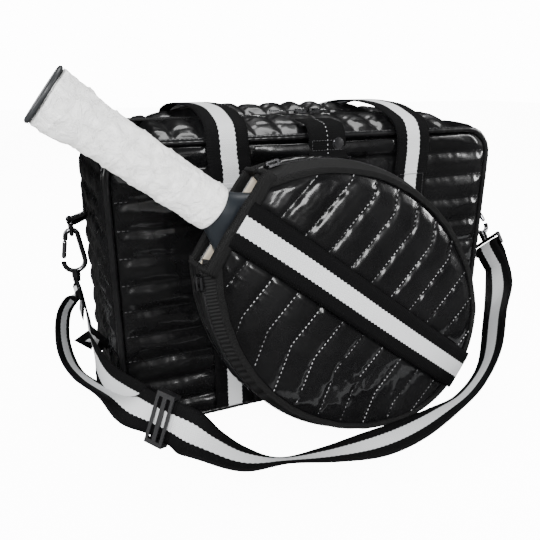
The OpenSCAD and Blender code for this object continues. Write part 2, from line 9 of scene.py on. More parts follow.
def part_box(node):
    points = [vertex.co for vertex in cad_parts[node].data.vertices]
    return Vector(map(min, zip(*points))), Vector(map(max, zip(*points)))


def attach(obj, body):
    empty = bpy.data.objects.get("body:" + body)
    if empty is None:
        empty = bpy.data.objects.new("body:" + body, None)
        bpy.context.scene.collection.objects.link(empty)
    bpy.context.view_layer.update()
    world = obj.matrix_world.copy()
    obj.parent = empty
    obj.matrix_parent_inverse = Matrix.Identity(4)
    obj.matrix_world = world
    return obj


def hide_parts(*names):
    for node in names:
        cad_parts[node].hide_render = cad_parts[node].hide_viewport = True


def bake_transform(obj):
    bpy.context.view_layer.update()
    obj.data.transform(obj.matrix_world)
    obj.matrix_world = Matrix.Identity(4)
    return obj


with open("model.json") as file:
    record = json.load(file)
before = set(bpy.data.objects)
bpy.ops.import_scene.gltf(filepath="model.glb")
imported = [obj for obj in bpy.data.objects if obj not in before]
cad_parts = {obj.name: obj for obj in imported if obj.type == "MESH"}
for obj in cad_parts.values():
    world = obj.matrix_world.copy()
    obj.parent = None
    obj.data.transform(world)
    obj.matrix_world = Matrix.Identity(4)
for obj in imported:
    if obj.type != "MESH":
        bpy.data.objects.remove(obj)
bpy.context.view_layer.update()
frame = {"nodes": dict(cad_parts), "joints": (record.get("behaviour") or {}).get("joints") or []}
MM = 0.001
EYE = (-0.267, -0.572, 0.331)  # where the camera stands

# ---------------------------------------------------------------- helpers: noise and meshes


def lattice_noise(u, v, seed):
    """Smooth value noise in -1..1 with a period of one unit cell, for arrays u and v."""
    rng = np.random.RandomState(seed)
    grid = rng.rand(64, 64) * 2 - 1
    iu, iv = np.floor(u).astype(int), np.floor(v).astype(int)
    fu, fv = u - iu, v - iv
    fu, fv = fu * fu * fu * (fu * (6 * fu - 15) + 10), fv * fv * fv * (fv * (6 * fv - 15) + 10)
    a, b = grid[iu % 64, iv % 64], grid[(iu + 1) % 64, iv % 64]
    c, d = grid[iu % 64, (iv + 1) % 64], grid[(iu + 1) % 64, (iv + 1) % 64]
    return (a * (1 - fu) + b * fu) * (1 - fv) + (c * (1 - fu) + d * fu) * fv


def fbm(u, v, seed, octaves=3):
    """Layered value noise, about -1..1."""
    total, size = 0.0, 1.0
    for k in range(octaves):
        total = total + size * lattice_noise(u * 2 ** k + 7.3 * k, v * 2 ** k + 3.1 * k, seed + k)
        size *= 0.5
    return total / 1.75


def ridged(u, v, seed):
    """Sharp-crested creases, 0..1."""
    return (1 - np.abs(fbm(u, v, seed, 2))) ** 3


def smoothstep(a, b, x):
    """0 below a, 1 above b, eased between."""
    t = np.clip((x - a) / (b - a), 0, 1)
    return t * t * (3 - 2 * t)


def new_object(name, verts, faces, uv=None, material=None):
    """Smooth-shaded object from points in mm, with one UV to a point."""
    mesh = bpy.data.meshes.new(name)
    mesh.from_pydata((np.asarray(verts, float) * MM).tolist(), [], faces)
    mesh.validate()
    if uv is not None:
        layer = mesh.uv_layers.new(name="UVMap")
        idx = np.zeros(len(mesh.loops), np.int32)
        mesh.loops.foreach_get("vertex_index", idx)
        layer.data.foreach_set("uv", np.asarray(uv, np.float32)[idx].ravel())
    mesh.polygons.foreach_set("use_smooth", [True] * len(mesh.polygons))
    if material:
        mesh.materials.append(material)
    o = bpy.data.objects.new(name, mesh)
    bpy.context.scene.collection.objects.link(o)
    return o


def grid_faces(nu, nv, offset=0, flip=False, wrap_u=False, wrap_v=False):
    """Quads of a grid of nu by nv points, closed on itself where wrapped."""
    faces = []
    for i in range(nu if wrap_u else nu - 1):
        for j in range(nv if wrap_v else nv - 1):
            a, b = i * nv + j, ((i + 1) % nu) * nv + j
            c, d = ((i + 1) % nu) * nv + (j + 1) % nv, i * nv + (j + 1) % nv
            f = (a + offset, b + offset, c + offset, d + offset)
            faces.append(f[::-1] if flip else f)
    return faces


def pad(name, outer, inner, uv, material):
    """Closed pad from two grids of the same shape, joined round their edges. outer's normal is u x v."""
    nu, nv = outer.shape[:2]
    n = nu * nv
    faces = grid_faces(nu, nv) + grid_faces(nu, nv, n, flip=True)
    rim = [(i, 0) for i in range(nu)] + [(nu - 1, j) for j in range(1, nv)]
    rim += [(i, nv - 1) for i in range(nu - 2, -1, -1)] + [(0, j) for j in range(nv - 2, 0, -1)]
    ids = [i * nv + j for i, j in rim]
    for a, b in zip(ids, ids[1:] + ids[:1]):
        faces.append((a, a + n, b + n, b))
    verts = np.concatenate([outer.reshape(-1, 3), inner.reshape(-1, 3)])
    both = np.concatenate([uv.reshape(-1, 2), uv.reshape(-1, 2)])
    return new_object(name, verts, faces, both, material)


def rod(name, rings, uv, material):
    """Closed body from a grid of rings, one row each, with flat ends."""
    n, m = rings.shape[:2]
    faces = grid_faces(n, m, wrap_v=True)
    faces.append(tuple(range(m)))
    faces.append(tuple(range(n * m - 1, (n - 1) * m - 1, -1)))
    return new_object(name, rings.reshape(-1, 3), faces, None if uv is None else uv.reshape(-1, 2), material)


def tube(name, centre, side, up, profile, material):
    """Sweeps a closed profile [(s, t)...] along centre points, s along side and t along up."""
    centre, side, up = (np.asarray(a, float) for a in (centre, side, up))
    prof = np.asarray(profile, float)
    pts = centre[:, None] + side[:, None] * prof[None, :, :1] + up[:, None] * prof[None, :, 1:]
    uv = np.stack(np.broadcast_arrays(prof[None, :, 0], run_length(centre)[:, None]), -1) * MM
    return rod(name, pts, uv, material)


def spline(points, steps):
    """Catmull-Rom curve through points or vectors."""
    p = np.asarray(points, float)
    q = np.concatenate([2 * p[:1] - p[1:2], p, 2 * p[-1:] - p[-2:-1]])
    out = []
    for i in range(len(p) - 1):
        a, b, c, d = q[i:i + 4]
        for t in np.linspace(0, 1, steps, endpoint=False):
            out.append((2 * b + (c - a) * t + (2 * a - 5 * b + 4 * c - d) * t ** 2
                        + (3 * b - a - 3 * c + d) * t ** 3) / 2)
    out.append(p[-1])
    return np.array(out)


def unit(v):
    """Vectors made one long."""
    return v / np.maximum(np.linalg.norm(v, axis=-1, keepdims=True), 1e-12)


def run_length(points):
    """Distance along a line of points, from its first one."""
    return np.concatenate([[0], np.cumsum(np.linalg.norm(np.diff(points, axis=0), axis=1))])


def box_mm(node):
    """Low and high corners of a CAD node, in mm."""
    return [np.array(v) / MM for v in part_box(node)]


def rounded_section(half_wide, half_deep, n, power=0.5, deep_power=None):
    """Closed section between an ellipse (power 1) and a rectangle (power 0)."""
    out = []
    for k in range(n):
        a = 2 * math.pi * (k + 0.5) / n
        c, d = math.cos(a), math.sin(a)
        out.append((half_wide * math.copysign(abs(c) ** power, c),
                    half_deep * math.copysign(abs(d) ** (deep_power or power), d)))
    return out


def ribbon_profile(w, t, n=10):
    """Flat webbing section, w wide and t thick with rounded edges, as (across, through) points."""
    xs = np.linspace(-w / 2, w / 2, n)
    edge = np.minimum(1, ((w / 2 - np.abs(xs)) / (t * 0.6)) + 0.35)
    top = [(x, t / 2 * e) for x, e in zip(xs, edge)]
    low = [(x, -t / 2 * e) for x, e in zip(xs[::-1], edge[::-1])]
    return top + low


def ribbon(name, path, widths, w, t, material, steps):
    """Webbing along a path, its width near the given vectors. UV is (across, along) in metres."""
    centre = spline(path, steps)
    hint = spline(widths, steps)
    along = unit(np.gradient(centre, axis=0))
    side = unit(hint - (hint * along).sum(1, keepdims=True) * along)
    up = np.cross(along, side)
    return tube(name, centre, side, up, ribbon_profile(w, t), material)


def capsules(name, points, dirs, normals, length, radius, material):
    """Small stitches: a flattened six-sided bead at each point."""
    p, d, n = np.asarray(points, float), unit(np.asarray(dirs, float)), unit(np.asarray(normals, float))
    s = np.cross(d, n)
    rings = [(-0.5, 0.35), (-0.3, 0.95), (0.3, 0.95), (0.5, 0.35)]
    verts, faces = [], []
    m = 6
    for ring, (a, r) in enumerate(rings):
        for k in range(m):
            ang = 2 * math.pi * k / m
            verts.append(p + d * a * length + (s * math.cos(ang) + n * math.sin(ang) * 0.8) * radius * r)
    v = np.stack(verts, 1).reshape(-1, 3)
    per = m * len(rings)
    for i in range(len(p)):
        o = i * per
        for ring in range(len(rings) - 1):
            for k in range(m):
                a, b = o + ring * m + k, o + ring * m + (k + 1) % m
                faces.append((a, b, b + m, a + m))
        faces.append(tuple(o + k for k in range(m - 1, -1, -1)))
        faces.append(tuple(o + per - m + k for k in range(m)))
    return new_object(name, v, faces, None, material)

# ---------------------------------------------------------------- helpers: materials


class Nodes:
    """Short way to lay down the shader nodes of one material."""

    def __init__(self, name):
        self.mat = bpy.data.materials.new(name)
        self.mat.use_nodes = True
        self.tree = self.mat.node_tree
        self.bsdf = self.tree.nodes["Principled BSDF"]

    def add(self, kind, inputs=None, **props):
        n = self.tree.nodes.new("ShaderNode" + kind)
        for k, v in props.items():
            setattr(n, k, v)
        for k, v in (inputs or {}).items():
            self.put(n.inputs[k], v)
        return n

    def put(self, socket, v):
        if isinstance(v, bpy.types.NodeSocket):
            self.tree.links.new(v, socket)
        else:
            socket.default_value = v

    def set(self, **kw):
        for k, v in kw.items():
            self.put(self.bsdf.inputs[k.replace("_", " ")], v)

    def math(self, op, a, b=0.0, c=0.0):
        return self.add("Math", {0: a, 1: b, 2: c}, operation=op).outputs[0]

    def ramp(self, fac, stops):
        n = self.add("ValToRGB", {"Fac": fac})
        el = n.color_ramp.elements
        while len(el) < len(stops):
            el.new(0.5)
        for e, (pos, col) in zip(el, stops):
            e.position = pos
            e.color = (*col, 1) if len(col) == 3 else col
        return n.outputs["Color"]

    def coords(self, kind="Object", scale=(1, 1, 1)):
        tc = self.add("TexCoord")
        return self.add("Mapping", {"Vector": tc.outputs[kind], "Scale": scale}).outputs[0]

    def noise(self, vec, scale, detail=3.0, rough=0.5, distortion=0.0):
        n = self.add("TexNoise", {"Vector": vec, "Scale": scale, "Detail": detail,
                                  "Roughness": rough, "Distortion": distortion})
        return n.outputs["Fac"]

    def bump(self, height, strength, distance, normal=None):
        n = self.add("Bump", {"Height": height, "Strength": strength, "Distance": distance})
        if normal is not None:
            self.put(n.inputs["Normal"], normal)
        return n.outputs["Normal"]


def gloss_nylon(name, base=0.0022, rough=0.24):
    """Wet-look padded nylon: near black under a clear coat, fine crinkles and a faint weave."""
    n = Nodes(name)
    obj = n.coords()
    wide = n.noise(obj, 45, 4, 0.55, 0.6)
    fine = n.noise(obj, 260, 3, 0.6, 0.4)
    weave = n.add("TexWave", {"Vector": obj, "Scale": 900.0}, bands_direction="DIAGONAL").outputs["Fac"]
    normal = n.bump(wide, 0.16, 0.0016)
    normal = n.bump(fine, 0.05, 0.0005, normal)
    normal = n.bump(weave, 0.02, 0.0001, normal)
    dust = n.ramp(n.noise(obj, 14, 5, 0.6), [(0.35, (base, base, base * 1.1)),
                                              (0.75, (base * 2.6, base * 2.6, base * 2.8))])
    r = n.math("MULTIPLY_ADD", n.noise(obj, 30, 3), 0.18, rough - 0.06)
    n.set(Base_Color=dust, Roughness=r, Normal=normal, Coat_Weight=0.55, Coat_Roughness=0.09)
    n.put(n.bsdf.inputs["Specular IOR Level"], 0.35)
    n.put(n.bsdf.inputs["Coat Normal"], normal)
    return n.mat


def webbing(name, stripe_half=0.0, half_width=0.02):
    """Woven tape. UV u runs across and v along, both in metres; a stripe |u| < stripe_half is light."""
    dark, light, pitch = (0.002, 0.002, 0.0023), (0.66, 0.67, 0.68), 0.0021
    n = Nodes(name)
    uv = n.add("UVMap").outputs[0]
    sep = n.add("SeparateXYZ", {"Vector": uv})
    u, v = sep.outputs[0], sep.outputs[1]
    k = 2 * math.pi / pitch
    cu = n.math("SINE", n.math("MULTIPLY", u, k))
    cv = n.math("SINE", n.math("MULTIPLY", v, k))
    weave = n.math("MULTIPLY", cu, cv)
    rib = n.math("ABSOLUTE", n.math("SINE", n.math("MULTIPLY", v, k / 2)))
    au = n.math("ABSOLUTE", u)
    saw = n.math("MULTIPLY", n.math("PINGPONG", v, pitch), 0.45)
    fuzz = n.noise(n.add("Mapping", {"Vector": uv, "Scale": (1, 1, 1)}).outputs[0], 900, 2)
    mask = n.math("LESS_THAN", n.math("ADD", au, saw), stripe_half + pitch * 0.2)
    tone = n.ramp(n.math("MULTIPLY_ADD", weave, 0.35, n.math("MULTIPLY", fuzz, 0.65)),
                  [(0.0, tuple(c * 0.55 for c in dark)), (1.0, tuple(c * 1.9 for c in dark))])
    pale = n.ramp(n.math("MULTIPLY_ADD", weave, 0.3, n.math("MULTIPLY", fuzz, 0.7)),
                  [(0.0, tuple(c * 0.72 for c in light)), (0.8, light)])
    mix = n.add("Mix", {"Factor": mask}, data_type="RGBA")
    n.put(mix.inputs[6], tone)
    n.put(mix.inputs[7], pale)
    edge = n.math("MULTIPLY", n.math("GREATER_THAN", au, half_width - 0.0018), rib)
    height = n.math("ADD", n.math("MULTIPLY_ADD", rib, 0.6, n.math("MULTIPLY", weave, 0.4)), edge)
    normal = n.bump(height, 0.5, 0.0005)
    n.set(Base_Color=mix.outputs[2], Roughness=0.78, Normal=normal)
    n.put(n.bsdf.inputs["Specular IOR Level"], 0.12)
    return n.mat


def twill(name, base=0.0026, kind="Object", pitch=0.0022):
    """Matt woven tape with diagonal ribs, placed by object coordinates or UV."""
    n = Nodes(name)
    vec = n.coords(kind)
    ribs = n.add("TexWave", {"Vector": vec, "Scale": 1 / pitch / 2 / math.pi * 3.14, "Distortion": 0.6,
                             "Detail": 1.0}, bands_direction="DIAGONAL").outputs["Fac"]
    fuzz = n.noise(vec, 800, 2)
    tone = n.ramp(n.math("MULTIPLY_ADD", ribs, 0.5, n.math("MULTIPLY", fuzz, 0.5)),
                  [(0.1, (base * 0.4, base * 0.4, base * 0.4)), (0.9, (base * 4.5, base * 4.5, base * 4.6))])
    normal = n.bump(ribs, 0.9, 0.0006, n.bump(fuzz, 0.3, 0.0003))
    n.set(Base_Color=tone, Roughness=0.72, Normal=normal)
    n.put(n.bsdf.inputs["Specular IOR Level"], 0.3)
    return n.mat


def metal(name, tone=0.16, rough=0.22):
    """Plated metal with slight wear."""
    n = Nodes(name)
    obj = n.coords()
    wear = n.noise(obj, 60, 4, 0.6)
    fine = n.noise(obj, 900, 2)
    col = n.ramp(wear, [(0.3, (tone * 0.7, tone * 0.7, tone * 0.74)),
                        (0.7, (tone * 1.3, tone * 1.3, tone * 1.34))])
    n.set(Base_Color=col, Metallic=1.0, Roughness=n.math("MULTIPLY_ADD", wear, 0.16, rough - 0.08),
          Normal=n.bump(fine, 0.06, 0.0002))
    return n.mat


def rubbery(name, col, rough=0.5, grain=700, depth=0.0003, spread=0.15):
    """Plain plastic, rubber, thread or cloth: one tone, uneven by spread, with a fine grain."""
    n = Nodes(name)
    obj = n.coords()
    g = n.noise(obj, grain, 3, 0.6)
    tone = n.ramp(n.noise(obj, 25, 4), [(0.35, tuple(c * (1 - spread) for c in col)),
                                         (0.65, tuple(min(1, c * (1 + spread)) for c in col))])
    n.set(Base_Color=tone, Roughness=n.math("MULTIPLY_ADD", g, 0.12, rough - 0.06),
          Normal=n.bump(g, 0.25, depth))
    return n.mat


def grip_material(name):
    """Tacky white wrap: fine pores and soft creases, with painted shade greying the low folds of the creases.
    """
    n = Nodes(name)
    uv = n.coords("UV")
    obj = n.coords()
    skewed = n.add("Mapping", {"Vector": obj, "Scale": (1, 1, 1), "Rotation": (0.3, 0.5, 0.4)}).outputs[0]
    crease = n.noise(skewed, 95, 5, 0.62, 1.2)
    fine = n.noise(obj, 420, 3, 0.6)
    pores = n.add("TexVoronoi", {"Vector": uv, "Scale": 520.0}).outputs["Distance"]
    # Painted shade: the crease noise that raises the bump also greys the colour, darkest in the low folds.
    tone = n.ramp(crease, [(0.22, (0.82, 0.82, 0.80)), (0.5, (0.93, 0.93, 0.92)), (0.8, (0.97, 0.97, 0.96))])
    normal = n.bump(crease, 1.0, 0.006)
    normal = n.bump(fine, 0.3, 0.0008, normal)
    normal = n.bump(pores, 0.12, 0.0003, normal)
    n.set(Base_Color=tone, Roughness=0.42, Normal=normal, Coat_Weight=0.15, Coat_Roughness=0.3)
    return n.mat


STRIPE_HALF = 0.0075  # half the pale stripe of the webbing, in metres
SHELL = gloss_nylon("shell_gloss")
SHELL_SOFT = gloss_nylon("shell_gloss_top", 0.003, 0.36)
WEB = webbing("webbing_striped", STRIPE_HALF)
WEB_CASE = webbing("webbing_case_striped", STRIPE_HALF)
STRAP = webbing("webbing_strap_striped", STRIPE_HALF, 0.019)
WEB_PLAIN = webbing("webbing_plain", 0.0)
TWILL = twill("zip_tape_twill")
BINDING = twill("binding_grosgrain", 0.0018, "UV", 0.0013)
PIPING = gloss_nylon("piping_gloss", 0.003, 0.32)
COIL = rubbery("zip_coil", (0.012, 0.012, 0.013), 0.35, 500, 0.0001)
THREAD = rubbery("thread_black_sheen", (0.05, 0.05, 0.052), 0.28, 900, 0.0001)
# Case stitching thread: painted highlight, a grey colour with a wide random spread standing in for the glints
# of glossy black thread.
THREAD_PAINTED_GLINT = rubbery("thread_painted_glint", (0.2, 0.2, 0.205), 0.2, 900, 0.0001, 0.95)
GUNMETAL = metal("gunmetal")
BRIGHT = metal("snap_bright", 0.42, 0.2)
BLACKENED = metal("blackened_metal", 0.06, 0.3)
LINING = rubbery("lining_beige", (0.55, 0.48, 0.38), 0.8, 500, 0.0005)
SLATE = rubbery("neck_slate", (0.014, 0.018, 0.023), 0.42, 500, 0.0002)
FACE = rubbery("face_carbon", (0.02, 0.021, 0.023), 0.4, 900, 0.0003)
EDGE = rubbery("edge_black", (0.01, 0.01, 0.011), 0.45, 400, 0.0002)
GRIP = grip_material("grip_white")
CAP = rubbery("butt_cap_dark", (0.028, 0.03, 0.032), 0.4, 600, 0.0002)
# Painted highlight: pale grey for the shine on the face of the butt cap.
CAP_PAINTED_HIGHLIGHT = rubbery("butt_disc_painted_highlight", (0.22, 0.22, 0.23), 0.35, 600, 0.0001)


def finish_piece(o, body, slot_name, *nodes):
    """Puts a built piece on its body, in place of the CAD nodes it stands for."""
    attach(o, body)
    if nodes:
        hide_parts(*nodes)
    return o


def settle(grid, pinned, pressure=4.0, shrink=-0.06, frames=16, limit=6.0, stiff=10.0):
    """Lets a sheet billow and crease as cloth with some points held; grid is (nu, nv, 3)."""
    nu, nv = grid.shape[:2]
    o = new_object("cloth_work", grid.reshape(-1, 3), grid_faces(nu, nv))
    group = o.vertex_groups.new(name="pin")
    group.add([int(i) for i in np.flatnonzero(pinned.ravel())], 1.0, "REPLACE")
    mod = o.modifiers.new("cloth", "CLOTH")
    s = mod.settings
    s.quality = 5
    s.mass = 0.02
    s.tension_stiffness = s.compression_stiffness = stiff
    s.shear_stiffness = stiff * 0.5
    s.bending_stiffness = 0.02
    s.tension_damping = s.compression_damping = s.shear_damping = 3
    s.vertex_group_mass = "pin"
    s.shrink_min = shrink
    s.use_pressure = True
    s.uniform_pressure_force = pressure
    s.effector_weights.gravity = 0
    mod.collision_settings.use_collision = False
    mod.collision_settings.use_self_collision = False
    scene = bpy.context.scene
    mod.point_cache.frame_start, mod.point_cache.frame_end = 1, frames
    for f in range(1, frames + 1):
        scene.frame_set(f)
    ev = o.evaluated_get(bpy.context.evaluated_depsgraph_get())
    co = np.zeros(nu * nv * 3)
    ev.data.vertices.foreach_get("co", co)
    scene.frame_set(1)
    bpy.data.objects.remove(o)
    moved = co.reshape(nu, nv, 3) / MM - grid
    size = np.linalg.norm(moved, axis=-1, keepdims=True)
    return grid + moved * np.minimum(1, limit / np.maximum(size, 1e-9))


def finer(grid):
    """One round of smooth refinement of a grid along both directions."""
    for axis in (0, 1):
        g = np.moveaxis(grid, axis, 0)
        out = np.zeros((2 * len(g) - 1,) + g.shape[1:])
        out[::2] = g
        out[2:-2:2] = (g[:-2] + 6 * g[1:-1] + g[2:]) / 8
        out[1::2] = (g[:-1] + g[1:]) / 2
        grid = np.moveaxis(out, 0, axis)
    return grid


def normals_of(grid):
    """Direction out of a grid of points, u x v."""
    du = np.gradient(grid, axis=0)
    dv = np.gradient(grid, axis=1)
    return unit(np.cross(du, dv))


def puff(t, power=2.3):
    """Height 0..1 across one quilted channel, t 0..1 from seam to seam."""
    return np.clip(1 - np.abs(2 * t - 1) ** power, 0, 1) ** 0.62


def seam_distance(s, pitch, start=0.0):
    """Distance to the nearest seam of a row of channels."""
    t = (s - start) / pitch
    return np.abs(t - np.round(t)) * pitch


def pucker(along, near_seam, seed, reach=7.0, wave=6.5):
    """Short gathers running away from a seam: along is the distance along it, near_seam from it."""
    fold = ridged(along / wave, near_seam * 0.04 + along * 0.013, seed)
    fold = fold - 0.35
    return fold * np.exp(-(near_seam / reach) ** 1.5) * smoothstep(0.0, 0.8, near_seam)


# ---------------------------------------------------------------- sizes, in mm

lo, hi = box_mm("bag_front_piping")
BAG_W, BAG_H = hi[0] - lo[0], hi[2]
HALF_W = BAG_W / 2
HALF_D = -lo[1]
PIPE_R = (hi[1] - lo[1]) / 2
CORNER = 34.0  # radius of the bag's outline
PITCH = 25.4  # height of a quilted channel
INSET = 6.8  # panel edge to outline
SEAM_Y = -box_mm("bag_front_panel")[0][1] - 5.0
LEG_X = 99.0  # middle of a handle leg
WEB_W, WEB_T = 40.0, 1.8
SIDE_REACH = 5.6  # how far a side stands out from the outline

# ---------------------------------------------------------------- front and back panels of the bag


def panel_grid(sign):
    """Quilted panel, seam plane at SEAM_Y; sign -1 is the front. Returns the outer grid (x, z)."""
    step = PITCH / 6
    zs = np.concatenate([[INSET], np.arange(math.ceil(INSET / step + 0.3) * step, BAG_H - INSET - 2, step),
                         [BAG_H - INSET]])
    us = np.linspace(-1, 1, 103)
    r = CORNER - INSET
    dz = np.maximum(0, np.maximum(INSET + r - zs, zs - (BAG_H - INSET - r)))
    half = HALF_W - INSET - r + np.sqrt(np.maximum(r * r - dz * dz, 0))
    z = np.broadcast_to(zs, (len(us), len(zs)))
    x = us[:, None] * half[None, :]
    edge = np.minimum(half[None, :] - np.abs(x), np.minimum(z - INSET, BAG_H - INSET - z) + 4)
    rise = puff((z / PITCH) % 1, 3.6) * (3.2 + 0.8 * lattice_noise(x / 70, np.floor(z / PITCH), 3))
    belly = 2.0 * (1 - us[:, None] ** 4) * np.sin(np.pi * np.clip(z / BAG_H, 0, 1))
    y = SEAM_Y + (rise + belly) * smoothstep(-1, 11, edge) ** 0.7
    grid = np.stack([x, sign * y, z], -1)
    pinned = (seam_distance(z, PITCH) < 1.2) | (edge < 1.0)
    return grid, pinned


def bag_panel(name, sign, node):
    """Quilted front (sign -1) or back panel: billowed as cloth, then puckered along its seams."""
    grid, pinned = panel_grid(sign)
    if sign > 0:
        grid, pinned = grid[::-1], pinned[::-1]
    grid = settle(grid, pinned, pressure=2, shrink=-0.003)
    grid = finer(grid)
    x, z = grid[..., 0], grid[..., 2]
    near = seam_distance(z, PITCH)
    n = normals_of(grid)
    lift = 0.5 * pucker(x + 300, near, 21 + sign) + 0.22 * fbm(x / 30, z / 18, 31 + sign)
    rim = smoothstep(0, 8, HALF_W - INSET - np.abs(x))
    rim = rim * smoothstep(0, 6, np.minimum(z - INSET, BAG_H - INSET - z))
    grid = grid + n * (lift * rim)[..., None]
    under = np.abs(np.abs(x) - LEG_X) < WEB_W / 2 + 2
    cap = np.where(under, SEAM_Y + 4.9, SEAM_Y + 9.5)
    grid[..., 1] = sign * np.clip(sign * grid[..., 1], SEAM_Y - 1.5, cap)
    inner = grid.copy()
    inner[..., 1] = sign * (SEAM_Y - 7)
    uv = np.stack([x, z], -1) * MM
    o = pad(name, grid, inner, uv, SHELL)
    return finish_piece(o, "bag", "gloss_shell", node)


bag_panel("bag_front_quilt", -1, "bag_front_panel")
bag_panel("bag_back_quilt", 1, "bag_back_panel")


def seam_stitches(name, sign):
    """Stitching along the channels of a front or back panel."""
    points, dirs, norms = [], [], []
    r = CORNER - INSET
    for k in range(1, int(BAG_H // PITCH) + 1):
        z = k * PITCH
        dz = max(0, INSET + r - z, z - (BAG_H - INSET - r))
        half = HALF_W - INSET - r + math.sqrt(max(r * r - dz * dz, 0)) - 3
        for x in np.arange(-half, half, 4.2):
            if abs(abs(x) - LEG_X) < WEB_W / 2:
                continue
            points.append((x, sign * (SEAM_Y + 0.55), z))
            dirs.append((1, 0, 0.08 * math.sin(x)))
            norms.append((0, sign, 0))
    o = capsules(name, points, dirs, norms, 2.9, 0.42, THREAD)
    return finish_piece(o, "bag", "webbing")


seam_stitches("bag_front_stitching", -1)
seam_stitches("bag_back_stitching", 1)

# ---------------------------------------------------------------- gussets and base


def outline_point(s, inset=0.0):
    """Point and outward direction on the right half of the bag's outline. s is 0 at half height."""
    r = CORNER - inset
    straight = BAG_H / 2 - CORNER
    arc = math.pi / 2 * CORNER
    sign = 1 if s >= 0 else -1
    a = abs(s)
    if a <= straight:
        p, n = (HALF_W - inset, a), (1.0, 0.0)
    elif a <= straight + arc:
        t = (a - straight) / CORNER
        n = (math.cos(t), math.sin(t))
        p = (HALF_W - CORNER + r * n[0], straight + r * n[1])
    else:
        p, n = (HALF_W - CORNER - (a - straight - arc), BAG_H / 2 - inset), (0.0, 1.0)
    return (p[0], BAG_H / 2 + sign * p[1]), (n[0], sign * n[1])


def gusset(name, side, node):
    """Quilted side of the bag, wrapped round the corners of its outline."""
    (_, y0, _), (_, y1, _) = box_mm(node)
    length = BAG_H / 2 - CORNER + math.pi / 2 * CORNER + 3.6
    ss = np.linspace(-length, length, 85)
    ys = np.linspace(y0, y1, 43)
    pts = [outline_point(s) for s in ss]
    p = np.array([q[0] for q in pts])
    n = np.array([q[1] for q in pts])
    height = BAG_H / 2 + ss
    s2, y2 = np.meshgrid(height, ys, indexing="ij")
    start = 24.0
    edge = np.minimum(y2 - y0, y1 - y2)
    channel = (s2 - start) / PITCH
    rise = puff(channel % 1, 2.0) * (4.2 + 1.1 * lattice_noise(y2 / 45, np.floor(channel), 8))
    flat_end = smoothstep(0, 14, np.minimum(s2 - height[0], height[-1] - s2))
    out = rise * smoothstep(-1, 12, edge) ** 0.7 * flat_end
    grid = np.stack([p[:, None, 0] + n[:, None, 0] * out, y2, p[:, None, 1] + n[:, None, 1] * out], -1)
    pinned = (seam_distance(s2, PITCH, start) < 1.8) | (edge < 0.5) | (flat_end < 0.3)
    grid = settle(grid[::-1], pinned[::-1], pressure=3, shrink=-0.012)[::-1]
    grid = finer(grid)
    ssf = np.interp(np.arange(grid.shape[0]) / 2, np.arange(len(ss)), height)[:, None]
    near = seam_distance(ssf, PITCH, start)
    nn = -normals_of(grid)
    y = grid[..., 1]
    rim = smoothstep(0, 7, np.minimum(y - y0, y1 - y))
    rim = rim * smoothstep(0, 12, np.minimum(ssf - height[0], height[-1] - ssf))
    lift = 0.6 * pucker(y + 200, near + 0 * y, 41 + side, wave=5.5)
    lift = lift + 0.4 * fbm(y / 22, ssf / 15 + 0 * y, 47 + side)
    grid = grid + nn * (lift * rim)[..., None]
    grid[..., 0] = np.minimum(grid[..., 0], HALF_W + SIDE_REACH)
    base = np.interp(np.arange(grid.shape[0]) / 2, np.arange(len(ss)), np.arange(len(ss)))
    inner_p = np.array([outline_point(s, 5.5)[0] for s in np.interp(base, np.arange(len(ss)), ss)])
    inner = grid.copy()
    inner[..., 0], inner[..., 2] = inner_p[:, None, 0], inner_p[:, None, 1]
    uv = np.stack([y, ssf + 0 * y], -1) * MM
    if side < 0:
        grid[..., 0] *= -1
        inner[..., 0] *= -1
    else:
        grid, inner, uv = grid[::-1], inner[::-1], uv[::-1]
    o = pad(name, grid, inner, uv, SHELL)
    return finish_piece(o, "bag", "gloss_shell", node)


gusset("bag_left_side", -1, "bag_left_gusset")
gusset("bag_right_side", 1, "bag_right_gusset")


def base_pad():
    """Flat base with a slightly raised edge."""
    x1, y1, _ = box_mm("bag_bottom")[1]
    xs, ys = np.linspace(-x1, x1, 87), np.linspace(-y1, y1, 43)
    x, y = np.meshgrid(xs, ys, indexing="ij")
    edge = np.minimum(x1 - np.abs(x), y1 - np.abs(y))
    low = 0.05 + 1.6 * (1 - smoothstep(0, 5, edge))
    low = low + 0.25 * (1 + fbm(x / 30, y / 30, 61)) * smoothstep(0, 20, edge)
    outer = np.stack([x, y, low], -1)[:, ::-1]
    inner = outer.copy()
    inner[..., 2] = 6
    o = pad("bag_base", outer, inner, outer[..., :2] * MM, SHELL)
    return finish_piece(o, "bag", "gloss_shell", "bag_bottom")


base_pad()


